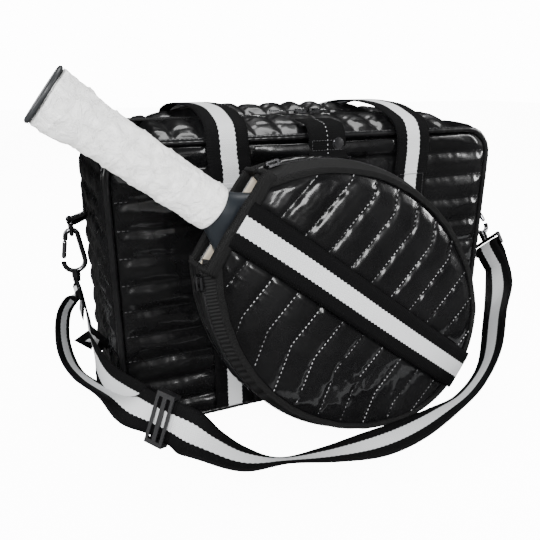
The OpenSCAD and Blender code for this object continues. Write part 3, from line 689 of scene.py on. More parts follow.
def piping(name, sign, node):
    """Corded edge round the front or back of the bag, slightly lumpy from its stitching."""
    c = HALF_D - PIPE_R
    straight_x = HALF_W - CORNER
    path, normal = [], []
    half = BAG_H / 2 - CORNER + math.pi / 2 * CORNER + straight_x
    for s in np.arange(-half, half, 2.5):
        p, n = outline_point(s, PIPE_R)
        path.append((p[0], sign * c, p[1]))
        normal.append((n[0], 0, n[1]))
    path = path + [(-x, y, z) for x, y, z in reversed(path)]
    normal = normal + [(-x, y, z) for x, y, z in reversed(normal)]
    path, normal = np.array(path), np.array(normal)
    n, m = len(path), 12
    length = np.cumsum(np.linalg.norm(np.diff(path, axis=0, prepend=path[:1]), axis=1))
    ang = np.linspace(0, 2 * math.pi, m, endpoint=False)
    lump = 1 + 0.05 * np.sin(length * 2 * math.pi / 7.5) + 0.05 * lattice_noise(length / 9, length * 0, 71)
    rr = PIPE_R * np.minimum(lump, 1.08)[:, None]
    side = np.array([0, sign, 0.0])
    pts = path[:, None] + normal[:, None] * (np.cos(ang) * rr)[..., None]
    pts = pts + side * (np.sin(ang) * rr)[..., None]
    faces = grid_faces(n, m, wrap_u=True, wrap_v=True, flip=sign < 0)
    uv = np.stack(np.broadcast_arrays(ang[None, :] * PIPE_R, length[:, None]), -1) * MM
    o = new_object(name, pts.reshape(-1, 3), faces, uv.reshape(-1, 2), PIPING)
    return finish_piece(o, "bag", "webbing", node)


piping("bag_front_cord", -1, "bag_front_piping")
piping("bag_rear_cord", 1, "bag_rear_piping")

# ---------------------------------------------------------------- top: flaps, zip tapes and coils

TAPE_Y = 14.0  # where the flaps meet the zip tapes
FLAP_Y = HALF_D - 6.4  # outer edges of the flaps
TURN_POINTS = 9  # points to one turn of a zip coil
ZIP_LOW = box_mm("main_tape_front")[0][2]


def top_height(y):
    """Height of the domed top's seams at depth y."""
    t = np.clip((HALF_D - 6.6 - np.abs(y)) / (HALF_D - 6.6 - TAPE_Y), 0, 1)
    return BAG_H - 3 + (ZIP_LOW + 2.5 - BAG_H) * (1 - (1 - t) ** 1.7)


def top_flap(name, sign, node):
    """Quilted half of the domed top, from the corded edge to the zip tape."""
    x1 = -box_mm(node)[0][0] - 0.2
    count = 13
    pitch = 2 * x1 / count
    xs = np.linspace(-x1, x1, count * 7 + 1)
    ys = sign * np.linspace(FLAP_Y, TAPE_Y, 19)
    x, y = np.meshgrid(xs, ys, indexing="ij")
    t = (x + x1) / pitch
    edge = np.minimum(np.abs(np.abs(y) - FLAP_Y), np.abs(np.abs(y) - TAPE_Y))
    ends = smoothstep(-2, 12, x1 - np.abs(x))
    amount = 3.2 + 1.2 * lattice_noise(np.floor(t) * 0.7 + 0.3, y / 40, 81)
    rise = puff(t % 1, 2.0) * amount * smoothstep(-1, 16, edge) ** 0.7 * ends
    eaves = BAG_H - 3
    sloped = eaves + (top_height(y) - eaves) * smoothstep(0, 30, x1 - np.abs(x))
    z = np.where(ends > 0.99, top_height(y), sloped) + rise
    across = np.clip((np.abs(y) - TAPE_Y) / (FLAP_Y - TAPE_Y), 0, 1)
    full = (12.0 if sign > 0 else 4.0) * np.sin(math.pi * across) * smoothstep(0, 90, x1 - np.abs(x))
    z = z + full
    grid = np.stack([x, y, z], -1)
    if sign > 0:
        grid = grid[:, ::-1]
    pinned = (seam_distance(x, pitch, -x1) < 0.5) | (edge < 0.5) | (x1 - np.abs(x) < 0.5)
    pinned = pinned[:, ::-1] if sign > 0 else pinned
    grid = finer(settle(grid, pinned, pressure=5, shrink=-0.03))
    x, y = grid[..., 0], grid[..., 1]
    edge = np.minimum(np.abs(np.abs(y) - FLAP_Y), np.abs(np.abs(y) - TAPE_Y))
    rim = smoothstep(0, 6, np.minimum(edge, x1 - np.abs(x)))
    lift = 0.8 * pucker(y + 120, seam_distance(x, pitch, -x1), 83 + sign)
    lift = lift + 0.6 * fbm(x / 16, y / 22, 87 + sign)
    grid = grid + normals_of(grid) * (lift * rim)[..., None]
    inner = grid.copy()
    inner[..., 2] = top_height(y) - 6.5
    o = pad(name, grid, inner, np.stack([x, y], -1) * MM, SHELL_SOFT)
    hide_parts(node)
    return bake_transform(o)


top_flap("top_quilt_front", -1, "top_flap_front")
top_flap("top_quilt_rear", 1, "top_flap_rear")


def zip_tape(name, sign, node, body):
    """Woven tape on one side of the top zip, a little wavy."""
    b0, b1 = box_mm(node)
    xs = np.linspace(b0[0], b1[0], 160)
    inner_y, outer_y = sign * 2.4, sign * (TAPE_Y + 1.5)
    ys = np.linspace(inner_y, outer_y, 7)
    x, y = np.meshgrid(xs, ys, indexing="ij")
    wave = 0.35 * lattice_noise(x / 24, y / 30, 91) + 0.25
    top = np.stack([x, y, b1[2] + wave * smoothstep(0, 4, np.abs(y) - 2.4)], -1)
    if sign < 0:
        top = top[:, ::-1]
    low = top.copy()
    low[..., 2] -= 1.1
    o = pad(name, top, low, top[..., :2] * MM, TWILL)
    return finish_piece(o, body, "webbing", node)


def zip_coil(name, path_fn, length, radius, pitch, wire):
    """Helical zip teeth. path_fn(s) gives centre, side and up arrays for distances s."""
    turns = int(length / pitch)
    s = np.linspace(0, length, turns * TURN_POINTS)
    centre, side, up = path_fn(s)
    ang = s / pitch * 2 * math.pi
    c = centre + side * (np.cos(ang) * radius)[:, None] + up * (np.sin(ang) * radius * 0.8)[:, None]
    along = unit(np.gradient(c, axis=0))
    a = unit(np.cross(along, np.broadcast_to(up, along.shape) + 0.01))
    b = np.cross(along, a)
    prof = [(wire * math.cos(k * math.pi / 2), wire * math.sin(k * math.pi / 2)) for k in range(4)]
    return tube(name, c, a, b, prof, COIL)


def top_coil(name, sign, node, body):
    """Teeth of one side of the top zip."""
    b0, b1 = box_mm(node)
    mid = (b0 + b1) / 2

    def path(s):
        c = np.stack([b0[0] + s, 0 * s + mid[1] + sign * 0.15, 0 * s + mid[2]], -1)
        return c, np.array([0, 1.0, 0]), np.array([0, 0, 1.0])

    o = zip_coil(name, path, b1[0] - b0[0], 1.15, 1.6, 0.42)
    return finish_piece(o, body, "coil", node)


zip_tape("top_tape_front", -1, "main_tape_front", "top_front")
zip_tape("top_tape_rear", 1, "main_tape_rear", "top_rear")
top_coil("top_teeth_front", -1, "main_coil_front", "top_front")
top_coil("top_teeth_rear", 1, "main_coil_rear", "top_rear")

# ---------------------------------------------------------------- handles

LEG_LOW = box_mm("front_handle_legs")[0][2]
WEB_Y = -box_mm("front_handle_legs")[0][1] - WEB_T / 2
(_, _, LEG_TOP), (_, LOOP_BACK, LOOP_TOP) = box_mm("front_handle_loop")


def leg(name, x, sign):
    """Webbing stitched down a panel, dipping a little at each seam."""
    zs = np.arange(LEG_LOW, LEG_TOP + 6, 3.0)
    dip = 0.7 * puff((zs / PITCH) % 1, 2.0) - 0.6
    wander = 0.9 * lattice_noise(zs / 60, zs * 0 + x, 101)
    path = [(x + w, sign * (WEB_Y + d), z) for z, d, w in zip(zs, dip, wander)]
    return ribbon(name, path, [(-sign, 0, 0)] * len(path), WEB_W, WEB_T, WEB, 2)


def stitch_box(name, cx, y, cz, w, h, sign):
    """Box of stitching that holds webbing down, on a plane facing sign along y."""
    corners = [(-w / 2, -h / 2), (w / 2, -h / 2), (w / 2, h / 2), (-w / 2, h / 2), (-w / 2, -h / 2)]
    pts, dirs = [], []
    for (a, b), (c, d) in zip(corners, corners[1:]):
        run = math.hypot(c - a, d - b)
        for t in np.arange(1.2, run - 1, 3.0):
            pts.append((cx + a + (c - a) * t / run, y, cz + b + (d - b) * t / run))
            dirs.append((c - a, 0, d - b))
    return capsules(name, pts, dirs, [(0, sign, 0)] * len(pts), 2.1, 0.3, THREAD)


for sx, label in ((-1, "left"), (1, "right")):
    o = leg(f"front_leg_{label}", sx * LEG_X, -1)
    finish_piece(o, "bag", "webbing", "front_handle_legs", "front_leg_stripes")
    o = leg(f"rear_leg_{label}", sx * LEG_X, 1)
    finish_piece(o, "bag", "webbing", "rear_handle_legs", "rear_leg_stripes")
    for sign, face in ((-1, "front"), (1, "rear")):
        y = sign * (WEB_Y + WEB_T / 2 + 0.35)
        o = stitch_box(f"{face}_leg_{label}_stitching", sx * LEG_X, y, LEG_TOP - 13, WEB_W - 8, 24, sign)
        finish_piece(o, "bag", "webbing")


def front_loop():
    """Strap rising from both front legs, thrown back over the top and hanging behind."""
    back = LOOP_BACK - WEB_T / 2
    crown = LEG_TOP + WEB_W / 2
    side = [(-WEB_Y, LEG_TOP - 1), (-WEB_Y, LEG_TOP + 18), (-WEB_Y + 0.2, BAG_H - 18),
            (-WEB_Y + 0.6, BAG_H - 4), (-WEB_Y + 6.5, BAG_H + 8), (-WEB_Y + 20, BAG_H + 14.5),
            (-50, LOOP_TOP - 1.4), (-20, LOOP_TOP + 1.5),
            (10, LOOP_TOP + 2), (40, LOOP_TOP + 0.6), (66, LOOP_TOP - 3.5), (back - 12, LOOP_TOP - 9),
            (back - 1.5, BAG_H + 5), (back + 0.4, BAG_H - 8)]
    right = [(LEG_X + 1.5 * math.sin(i), y, z) for i, (y, z) in enumerate(side)]
    left = [(-LEG_X + 1.2 * math.cos(i), y, z) for i, (y, z) in enumerate(side)]
    turn = [(LEG_X - 3, back + 1, BAG_H - 20), (LEG_X - 16, back + 1.5, crown + 7),
            (LEG_X - 36, back + 1.2, crown + 1), (LEG_X - 62, back + 0.8, crown - 1)]
    middle = [(0, back + 0.8, crown - 1)]
    other = [(-x, y, z) for x, y, z in reversed(turn)]
    path = right + turn + middle + other + left[::-1]
    w_side = [(1, 0, 0)] * (len(side) - 1) + [(0.98, 0, 0.1)]
    w_turn = [(0.9, 0, 0.4), (0.62, 0, 0.78), (0.3, 0, 0.95), (0.05, 0, 1)]
    w_other = [(-a, 0, c) for a, _, c in reversed(w_turn)]
    w_left = [(-a, 0, c) for a, _, c in reversed(w_side)]
    o = ribbon("front_loop", path, w_side + w_turn + [(0, 0, 1)] + w_other + w_left, WEB_W, WEB_T, WEB, 8)
    return finish_piece(o, "front_handle", "webbing", "front_handle_loop", "front_loop_stripe")


front_loop()


def rear_loop():
    """Spare loop hanging down behind from the tops of the back legs."""
    b0, b1 = box_mm("rear_handle_loop")
    y, top = (b0[1] + b1[1]) / 2 + 0.1, b1[2]
    centre = b0[2] + WEB_W / 2 + LEG_X
    path = [(LEG_X, y, z) for z in np.linspace(top, centre + 6, 6)]
    width = [(-1, 0, 0)] * 6
    for a in np.linspace(0, math.pi, 15)[1:-1]:
        bow = 1 + 0.025 * math.sin(3 * a)
        path.append((LEG_X * bow * math.cos(a), y + 1.2 * math.sin(a), centre - LEG_X * bow * math.sin(a)))
        width.append((-math.cos(a), 0, math.sin(a)))
    path += [(-LEG_X, y, z) for z in np.linspace(centre + 6, top, 6)]
    width += [(1, 0, 0)] * 6
    o = ribbon("rear_loop", path, width, WEB_W, WEB_T, WEB, 6)
    return finish_piece(o, "rear_handle", "webbing", "rear_handle_loop", "rear_loop_stripe")


rear_loop()

# ---------------------------------------------------------------- hanger and side ring tabs


def hanger():
    """Webbing tab down the middle of the front edge, folded through its ring."""
    b0, b1 = box_mm("hanger_tab")
    rb0, rb1 = box_mm("hanger_ring")
    ring_y, bar_z = (rb0[1] + rb1[1]) / 2, rb1[2] - 1.6
    y0 = b0[1] + 3.4 + 2.4
    turn = [(0, ring_y + 2.7 * math.cos(a), bar_z + 2.7 * math.sin(a))
            for a in np.linspace(0.6, -math.pi - 0.4, 9)]
    front = [(0, y0 - 1.2, bar_z + 6), (0, y0 - 1.0, BAG_H - 12), (0, y0 + 0.4, BAG_H - 2),
             (0, y0 + 6, BAG_H + 6.5), (0, y0 + 14, b1[2] - 1), (0, y0 + 24, b1[2] + 0.6),
             (0, b1[1], b1[2] + 1.2)]
    path = [(0, y0 + 0.6, bar_z + 7)] + turn + front
    o = ribbon("hanger_strap", path, [(1, 0, 0)] * len(path), WEB_W, 1.6, WEB_PLAIN, 6)
    finish_piece(o, "bag", "webbing", "hanger_tab")
    o = stitch_box("hanger_stitching", 0, y0 - 2.0, bar_z + 12, WEB_W - 7, 9, -1)
    finish_piece(o, "bag", "webbing")


hanger()


def ring_tab(name, side, node):
    """Short tab of webbing, folded through a side ring and sewn flat on the gusset."""
    b0, b1 = box_mm(node)
    width = b1[1] - b0[1]
    mid = (b0[1] + b1[1]) / 2
    wall = HALF_W + SIDE_REACH
    ring = (b1[0] if side > 0 else -b0[0]) - 4.0
    z = b0[2] + 4.0
    loop = [(ring + 2.9 * math.cos(a), z + 2.9 * math.sin(a)) for a in np.linspace(-2.2, 2.2, 9)]
    path = [(wall + 1.0, z + 8), (wall + 1.6, z + 3.2), (ring - 5, z - 1.8)] + loop
    path += [(ring - 5, z + 3.2), (wall + 3.4, z + 6.5), (wall + 2.6, z + 12), (wall + 2.4, z + 20),
             (wall + 2.2, b1[2])]
    path = [(side * x, mid, zz) for x, zz in path]
    o = ribbon(name, path, [(0, 1, 0)] * len(path), width, 1.5, WEB_PLAIN, 5)
    finish_piece(o, "bag", "webbing", node)
    pts = [(side * (wall + 3.4), mid + dy, z + dz)
           for dz in (12, 24) for dy in np.arange(-width / 2 + 2, width / 2 - 1, 2.6)]
    along, out = [(0, 1, 0)] * len(pts), [(side, 0, 0)] * len(pts)
    o = capsules(name + "_stitching", pts, along, out, 2.0, 0.3, THREAD)
    finish_piece(o, "bag", "webbing")


ring_tab("left_tab", -1, "left_ring_tab")
ring_tab("right_tab", 1, "right_ring_tab")

# ---------------------------------------------------------------- shoulder strap


def joint_pos(name):
    """Place of a joint, in mm."""
    return np.array(next(j for j in frame["joints"] if j["name"] == name)["pos_m"]) / MM


RING_L, RING_R = joint_pos("left_ring_swing"), joint_pos("right_ring_swing")
HOOK_DROP, HOOK_DIP = 66.0, 9.6  # hook's bow to its strap bar, ring's centre to the hook's bow
PULL = math.radians(-40)  # the right hook leans forwards
WRAP_R = 3.2  # the strap round the bar of a hook
STRAP_W = 38.0
BAR_L = RING_L + (0, 0, -HOOK_DIP - HOOK_DROP)
BAR_R = RING_R + (0, HOOK_DROP * math.sin(PULL), -HOOK_DIP - HOOK_DROP * math.cos(PULL))


def turned(points, shares):
    """Width directions of a strap of which each given share of the width shows from the camera's side."""
    p = np.array(points, float)
    along = unit(np.gradient(p, axis=0))
    view = unit(p - np.array(EYE) / MM)
    face_on = unit(np.cross(along, view))
    edge_on = np.cross(face_on, along)
    share = np.array(shares)[:, None]
    return face_on * share + edge_on * np.sqrt(1 - share ** 2)


def shoulder_strap():
    """Long strap from the left hook, low round the front of the bag, to the right hook."""
    lx, ly, lz = BAR_L
    wrap = [(lx + 0.5, ly, lz - 26), (lx + 2.6, ly, lz - 12)]
    wrap += [(lx + WRAP_R * math.cos(a), ly, lz + WRAP_R * math.sin(a))
             for a in np.linspace(-0.3, math.pi + 0.3, 7)]
    run = [(lx - 4.5, ly, lz - 5), (-249, 8, 98), (-254, -6, 78), (-251, -36, 61), (-238, -72, 56),
           (-219, -112, 57), (-198, -148, 58), (-178, -174, 54), (-158, -198, 46), (-134, -214, 36),
           (-103, -224, 32), (-64, -230, 30), (-22, -233, 30), (16, -232, 33), (54, -229, 41), (92, -221, 49),
           (138, -196, 62), (183, -154, 81), (217, -122, 99)]
    shares = [0.3, 0.35, 0.35, 0.33, 0.33, 0.38, 0.6, 0.8, 0.75, 0.5, 0.14, 0.36, 0.62, 0.62, 0.45, 0.35,
              0.45, 0.6, 0.72]
    tip = np.array([0, math.sin(PULL), -math.cos(PULL)])
    side = np.array([1.0, 0, 0])
    end = [BAR_R + tip * 17 + side * 2.0, BAR_R + tip * 7 + side * 3.8]
    end += [BAR_R - tip * 7.5 * math.sin(a) + side * WRAP_R * math.cos(a)
            for a in np.linspace(0.2, math.pi + 0.5, 7)]
    end += [BAR_R + tip * 14 - side * 1.2, BAR_R + tip * 27 + side * 0.6]
    bar = (0, math.cos(PULL), math.sin(PULL))
    path = wrap + run + [tuple(p) for p in end]
    twist = [tuple(w) for w in turned(run, shares)]
    twist[6:8] = [(0.1, 0.4, 0.9), (0, 0.5, 0.8)]
    width = [(0, 1, 0)] * len(wrap) + twist + [bar] * len(end)
    o = ribbon("shoulder_band", path, width, STRAP_W, WEB_T, STRAP, 9)
    return finish_piece(o, "strap", "webbing", "shoulder_strap")


shoulder_strap()


def strap_tail():
    """Return run of the strap, from the left hook to the adjuster."""
    lx, ly, lz = BAR_L
    path = [(lx + 3.6, ly, lz - 4), (lx + 6, ly - 3, 92), (lx + 6, ly - 26, 74), (-227, -54, 66),
            (-222, -86, 60), (-209, -112, 57), (-192, -138, 54), (-181, -158, 51)]
    width = [(0, 1, 0), (0, 1, 0.1), (0, 1, 0.3), (0, 0.8, 0.6), (0.1, 0.5, 0.9), (0.1, 0.3, 1),
             (0.1, 0.3, 1), (0.1, 0.4, 0.9)]
    o = ribbon("shoulder_tail", path, width, STRAP_W - 2, WEB_T, STRAP, 9)
    return finish_piece(o, "strap", "webbing", "strap_return")


strap_tail()

# ---------------------------------------------------------------- paddle case


def rot(axis, deg):
    """Turn about one axis."""
    return np.array(Matrix.Rotation(math.radians(deg), 3, axis))


CASE_POS = np.array([-121.0, -178.0, 224.0])
CASE_ROT = rot("Z", 2.1) @ rot("X", 85) @ rot("Z", -37.5)
SIDE_X, SIDE_Y, SIDE_R = 145.6, -61.2, 181.2  # arc of one side: centre and radius
END_C, END_R, END_X = 195.3, 102.3, 259.7  # arc of the tip: centre, radius and where it starts
CASE_T = 46.0  # thickness
MOUTH_HALF = 46.5  # half the width of the mouth
PANEL_INSET = 10.5  # front panel's edge to the outline
CHANNEL = 27.2  # width of a quilted channel


def case_world(p):
    """Points given on the case's own axes: x from mouth to tip, y across, z out of the front."""
    return np.asarray(p, float) @ CASE_ROT.T + CASE_POS


def half_width(x, inset=0.0):
    """Half the case's width at x: a side arc, then the round tip."""
    side = np.sqrt(np.maximum((SIDE_R - inset) ** 2 - (x - SIDE_X) ** 2, 0)) + SIDE_Y
    end = np.sqrt(np.maximum((END_R - inset) ** 2 - (x - END_C) ** 2, 0))
    return np.where(x < END_X, side, end)


def case_outline(inset=0.0, step=2.6, mouth=0.0):
    """Open outline from the lower mouth corner round the tip to the upper one, with outward directions."""
    xs = np.arange(mouth, END_X, step)
    low = np.stack([xs, half_width(xs, inset)], -1)
    n_low = unit(np.stack([xs - SIDE_X, low[:, 1] - SIDE_Y], -1))
    th = math.acos((END_X - END_C) / (END_R - inset))
    a = np.arange(th, 0.001, -step / END_R)
    arc = np.stack([END_C + (END_R - inset) * np.cos(a), (END_R - inset) * np.sin(a)], -1)
    n_arc = np.stack([np.cos(a), np.sin(a)], -1)
    half, n_half = np.concatenate([low, arc]), np.concatenate([n_low, n_arc])
    flip = np.array([1, -1])
    return np.concatenate([half * flip, half[::-1]]), np.concatenate([n_half * flip, n_half[::-1]])


def case_bulge(x, y, size=5.0):
    """How far the middle of a panel of the case stands out."""
    return size * np.clip(1 - ((x - 150) / 155) ** 2, 0, 1) * np.clip(1 - (y / 112) ** 2, 0, 1)


def chevron(x, y):
    """Position counted in channels: the seams lean one way by the webbing and back near the edge."""
    a = np.abs(y)
    up = 0.19 * np.minimum(a - 20, 62) - 0.42 * np.maximum(a - 84, 0)
    down = -0.14 * np.minimum(a - 20, 40) + 0.25 * np.maximum(a - 62, 0)
    shift = np.where(y > 0, up + 0.5, down - 4.0)
    return (x - shift) / CHANNEL


def case_rows(inset, first):
    """Places of the rows of a panel of the case, closer together round the tip."""
    xs = np.arange(first, END_X, 2.9)
    a = np.linspace(math.acos((END_X - END_C) / (END_R - inset)), 0.035, 16)
    return np.concatenate([xs, END_C + (END_R - inset) * np.cos(a)])


def case_panel(name, node, body, face, cloth, material):
    """Quilted side of the case. face is 1 for the front and -1 for the back."""
    inset = PANEL_INSET if face > 0 else 4.6
    xs = case_rows(inset, 3.0)
    vs = np.linspace(-1, 1, 83)
    h = half_width(xs, inset)
    x = np.broadcast_to(xs[:, None], (len(xs), len(vs)))
    y = h[:, None] * vs[None, :]
    edge = np.minimum(h[:, None] - np.abs(y), x - 3.0)
    tip_gap = np.where(x > END_C, END_R - inset - np.hypot(x - END_C, y), 99)
    edge = np.minimum(edge, tip_gap)
    q = chevron(x, y)
    near = np.abs(q - np.round(q)) * CHANNEL
    web = 1 - smoothstep(WEB_W / 2 - 3, WEB_W / 2 + 5, np.abs(y)) if face > 0 else np.zeros_like(y)
    amount = 2.3 + 0.5 * lattice_noise(np.floor(q) * 0.63 + 5, y / 50, 121)
    rise = puff(q % 1, 4.5) * amount * smoothstep(-1, 12, edge) ** 0.8 * (1 - 0.75 * web)
    z = -3.6 + rise + case_bulge(x, y)
    grid = np.stack([x, y, z], -1)
    if cloth:
        pinned = (near < 1.6) | (edge < 1.0) | (web > 0.6)
        grid = settle(grid, pinned, pressure=1.0, shrink=0.0)
    grid = finer(grid)
    x, y = grid[..., 0], grid[..., 1]
    q = chevron(x, y)
    near = np.abs(q - np.round(q)) * CHANNEL
    h2 = half_width(x, inset)
    edge = np.minimum(h2 - np.abs(y), np.where(x > END_C, END_R - inset - np.hypot(x - END_C, y), 99))
    web = 1 - smoothstep(WEB_W / 2 - 3, WEB_W / 2 + 4, np.abs(y)) if face > 0 else np.zeros_like(y)
    crush = smoothstep(60, 190, x) * smoothstep(10, 60, -y)
    lift = (0.3 + 0.6 * crush) * pucker(y + 300, near, 123)
    lift += (0.1 + 0.7 * crush) * fbm(x / 15 + y / 40, y / 22, 127)
    lift += 1.2 * crush * (ridged(x / 17 + y / 60, y / 24, 131) - 0.3)
    grid[..., 2] += lift * smoothstep(0, 7, edge) * smoothstep(0, 5, x - 3) * (1 - web)
    grid[..., 2] = np.where(web > 0.5, np.minimum(grid[..., 2], case_bulge(x, y) - 0.6), grid[..., 2])
    inner = np.stack([x, y, np.full_like(x, -9.3)], -1)
    uv = grid[..., :2] * MM
    if face < 0:
        grid, inner = (g * (1, 1, -1) - (0, 0, CASE_T) for g in (grid, inner))
        grid, inner, uv = grid[:, ::-1], inner[:, ::-1], uv[:, ::-1]
    o = pad(name, case_world(grid), case_world(inner), uv, material)
    return finish_piece(o, body, "gloss_shell", node)


case_panel("case_front_quilt", "case_front_panel", "case_front", 1, True, SHELL)
case_panel("case_back_quilt", "case_back_panel", "case", -1, False, SHELL)


def case_seam_stitches(name, body, face):
    """Stitches a fixed distance apart along every leaning seam of the case."""
    points, dirs, norms = [], [], []
    for sy in (-1, 1):
        for k in range(0, 13):
            last = None
            for a in np.arange(WEB_W / 2 + 2.5 if face > 0 else 2, 116, 1.0):
                y = sy * a
                lo_x, hi_x = 3.0, 300.0
                for _ in range(30):
                    mid = (lo_x + hi_x) / 2
                    if chevron(mid, y) < k:
                        lo_x = mid
                    else:
                        hi_x = mid
                x = lo_x
                if x < 9 or x > END_C + END_R - PANEL_INSET - 4 or half_width(x, PANEL_INSET) - a < 3:
                    continue
                p = np.array([x, y, -2.3 + float(case_bulge(x, y))])
                if last is not None and np.linalg.norm(p - last) < 3.3:
                    continue
                d = p - last if last is not None else np.array([0, sy, 0.0])
                last = p
                points.append(p)
                dirs.append(d)
                norms.append((0, 0, 1))
    points, dirs, norms = np.array(points), np.array(dirs), np.array(norms, float)
    if face < 0:
        points = points * (1, 1, -1) - (0, 0, CASE_T)
        norms = -norms
    # These stitches take the grey thread, a painted highlight.
    o = capsules(name, case_world(points), dirs @ CASE_ROT.T, norms @ CASE_ROT.T, 2.0, 0.5, THREAD_PAINTED_GLINT)
    return finish_piece(o, body, "webbing")


case_seam_stitches("case_front_stitching", "case_front", 1)
case_seam_stitches("case_back_stitching", "case", -1)


def case_sweep(name, inset, z, wide, deep, body, material, node, ripple, seed, corner=0.45, lean=0.0):
    """Strip running round the case, rounded in section: wide across the edge, deep along z, turned by lean."""
    pts, nrm = case_outline(inset, 2.2, -0.6)
    count = len(pts)
    s = run_length(pts)
    wobble = ripple * lattice_noise(s / 11, s * 0, seed)
    centre = np.column_stack([pts + nrm * wobble[:, None], z + 0.5 * wobble])
    side = np.stack([nrm[:, 0], nrm[:, 1], np.zeros(count)], -1)
    prof = [(a * math.cos(lean) - b * math.sin(lean), a * math.sin(lean) + b * math.cos(lean))
            for a, b in rounded_section(wide / 2, deep / 2, 14, corner)]
    front = np.tile(CASE_ROT[:, 2], (count, 1))
    o = tube(name, case_world(centre), side @ CASE_ROT.T, front, prof, material)
    return finish_piece(o, body, "webbing", node)


case_sweep("case_front_edge", 9.4, -2.0, 5.4, 4.6, "case_front", BINDING, "case_front_binding", 0.35, 3)
case_sweep("case_rear_edge", 3.6, -CASE_T + 2.2, 8.4, 5.6, "case", BINDING, "case_rear_binding", 0.35, 4)
case_sweep("case_front_tape", 5.4, -10.0, 1.3, 16.6, "case_front", TWILL, "case_tape_front", 0.3, 5, 0.25, 0.51)
case_sweep("case_rear_tape", 1.5, -27.2, 1.3, 12.0, "case", TWILL, "case_tape_rear", 0.3, 6, 0.25)


def case_coil(name, z, body, node):
    """Teeth of one side of the case's zip."""
    pts, nrm = case_outline(1.3, 2.0)
    s0 = run_length(pts)

    def path(s):
        c = np.stack([np.interp(s, s0, pts[:, 0]), np.interp(s, s0, pts[:, 1]), 0 * s + z], -1)
        d = unit(np.stack([np.interp(s, s0, nrm[:, 0]), np.interp(s, s0, nrm[:, 1]), 0 * s], -1))
        return case_world(c), np.broadcast_to(CASE_ROT[:, 2], c.shape), d @ CASE_ROT.T

    o = zip_coil(name, path, s0[-1], 1.25, 1.7, 0.45)
    return finish_piece(o, body, "coil", node)


case_coil("case_front_teeth", -18.4, "case_front", "case_coil_front")
case_coil("case_rear_teeth", -20.6, "case", "case_coil_rear")


def case_side_strip():
    """Glossy padded strip between the zip and the rear edge, crinkled across its width."""
    pts, nrm = case_outline(1.4, 1.6)
    zs = np.linspace(-CASE_T + 4.4, -32.2, 11)
    s = run_length(pts)
    s2, z2 = np.meshgrid(s, zs, indexing="ij")
    t = (z2 - zs[0]) / (zs[-1] - zs[0])
    out = 2.6 * np.sin(math.pi * t) ** 0.7 * (1 + 0.25 * lattice_noise(s2 / 26, z2 / 20, 141))
    out += 1.3 * (ridged(s2 / 6.5, z2 / 16, 143) - 0.4) * np.sin(math.pi * t)

    def offset(amount):
        moved = pts[:, None] + nrm[:, None] * amount[..., None]
        return case_world(np.concatenate([moved, z2[..., None]], -1))

    o = pad("case_side_strip", offset(out), offset(0 * z2 - 2.6), np.stack([s2, z2], -1) * MM, SHELL)
    return finish_piece(o, "case", "gloss_shell", "case_gusset")


case_side_strip()


def case_bar(name, centre, axis, section):
    """Bound edge at the mouth, its section on the case's x axis and the given other one."""
    rows = (len(centre), 1)
    inward, across = np.tile(CASE_ROT[:, 0], rows), np.tile(CASE_ROT[:, axis], rows)
    return tube(name, case_world(centre), inward, across, section, BINDING)


def mouth_trim(name, z0, z1, body, node):
    """Folded tape along the mouth edge of a panel."""
    reach = float(half_width(2.0, 2.0))
    ys = np.linspace(-reach, reach, 40)
    bow = 1.5 * (1 - (ys / reach) ** 2)
    centre = np.stack([2.6 - bow + 0.4 * lattice_noise(ys / 12, ys * 0, 151), ys,
                       (z0 + z1) / 2 + np.sign(z0 + CASE_T / 2) * bow], -1)
    o = case_bar(name, centre, 2, rounded_section(5.4, (z1 - z0) / 2, 16))
    return finish_piece(o, body, "webbing", node)


mouth_trim("case_front_mouth_trim", -8.4, 0.6, "case_front", "case_front_mouth")
mouth_trim("case_rear_mouth_trim", -CASE_T - 0.6, -CASE_T + 8.4, "case", "case_rear_mouth")


def mouth_end(name, side, z0, z1, body):
    """Tape folded over the end of the case's side wall at the mouth."""
    zs = np.linspace(z0, z1, 14)
    y = side * (MOUTH_HALF - 1.6)
    centre = np.stack([0 * zs + 2.0 + 0.5 * lattice_noise(zs / 7, zs * 0 + side, 155), 0 * zs + y, zs], -1)
    o = case_bar(name, centre, 1, rounded_section(5.6, 2.6, 14, deep_power=0.6))
    return finish_piece(o, body, "webbing")


for side, label in ((-1, "lower"), (1, "upper")):
    mouth_end(f"case_front_corner_{label}", side, -17.5, -3, "case_front")
    mouth_end(f"case_rear_corner_{label}", side, -CASE_T + 3, -21.5, "case")


def case_lining():
    """Pale lining seen at the mouth."""
    xs = case_rows(6.0, 4.0)
    vs = np.linspace(-1, 1, 61)
    h = half_width(xs, 6.0)
    x = np.broadcast_to(xs[:, None], (len(xs), len(vs)))
    y = h[:, None] * vs[None, :]
    z = -CASE_T + 10.1 + 0.35 * fbm(x / 18, y / 18, 161)
    grid = np.stack([x, y, z], -1)
    inner = np.stack([x, y, np.full_like(x, -CASE_T + 9.35)], -1)
    o = pad("case_lining_sheet", case_world(grid), case_world(inner), grid[..., :2] * MM, LINING)
    return finish_piece(o, "case", "lining", "case_lining")


case_lining()


def case_band():
    """Striped webbing down the middle of the case front, from mouth to tip."""
    b1 = END_C + END_R - 8.5
    xs = np.linspace(1.0, b1, 50)
    path = [(x, 0.5 * math.sin(x / 40), 1.1 + float(case_bulge(x, 0)) + 0.25 * math.sin(x / 9)) for x in xs]
    o = ribbon("case_band", case_world(path), [tuple(CASE_ROT[:, 1])] * len(path), WEB_W, WEB_T, WEB_CASE, 4)
    return finish_piece(o, "case_front", "webbing", "case_webbing", "case_webbing_stripe")


case_band()

# ---------------------------------------------------------------- paddle

BUTT_X, NECK_X0, NECK_X1 = -162.0, -16.0, 26.0  # butt, end of the grip, start of the face
AXIS_Z = -CASE_T / 2
GRIP_R = 18.9
WRAP_PITCH = 23.0


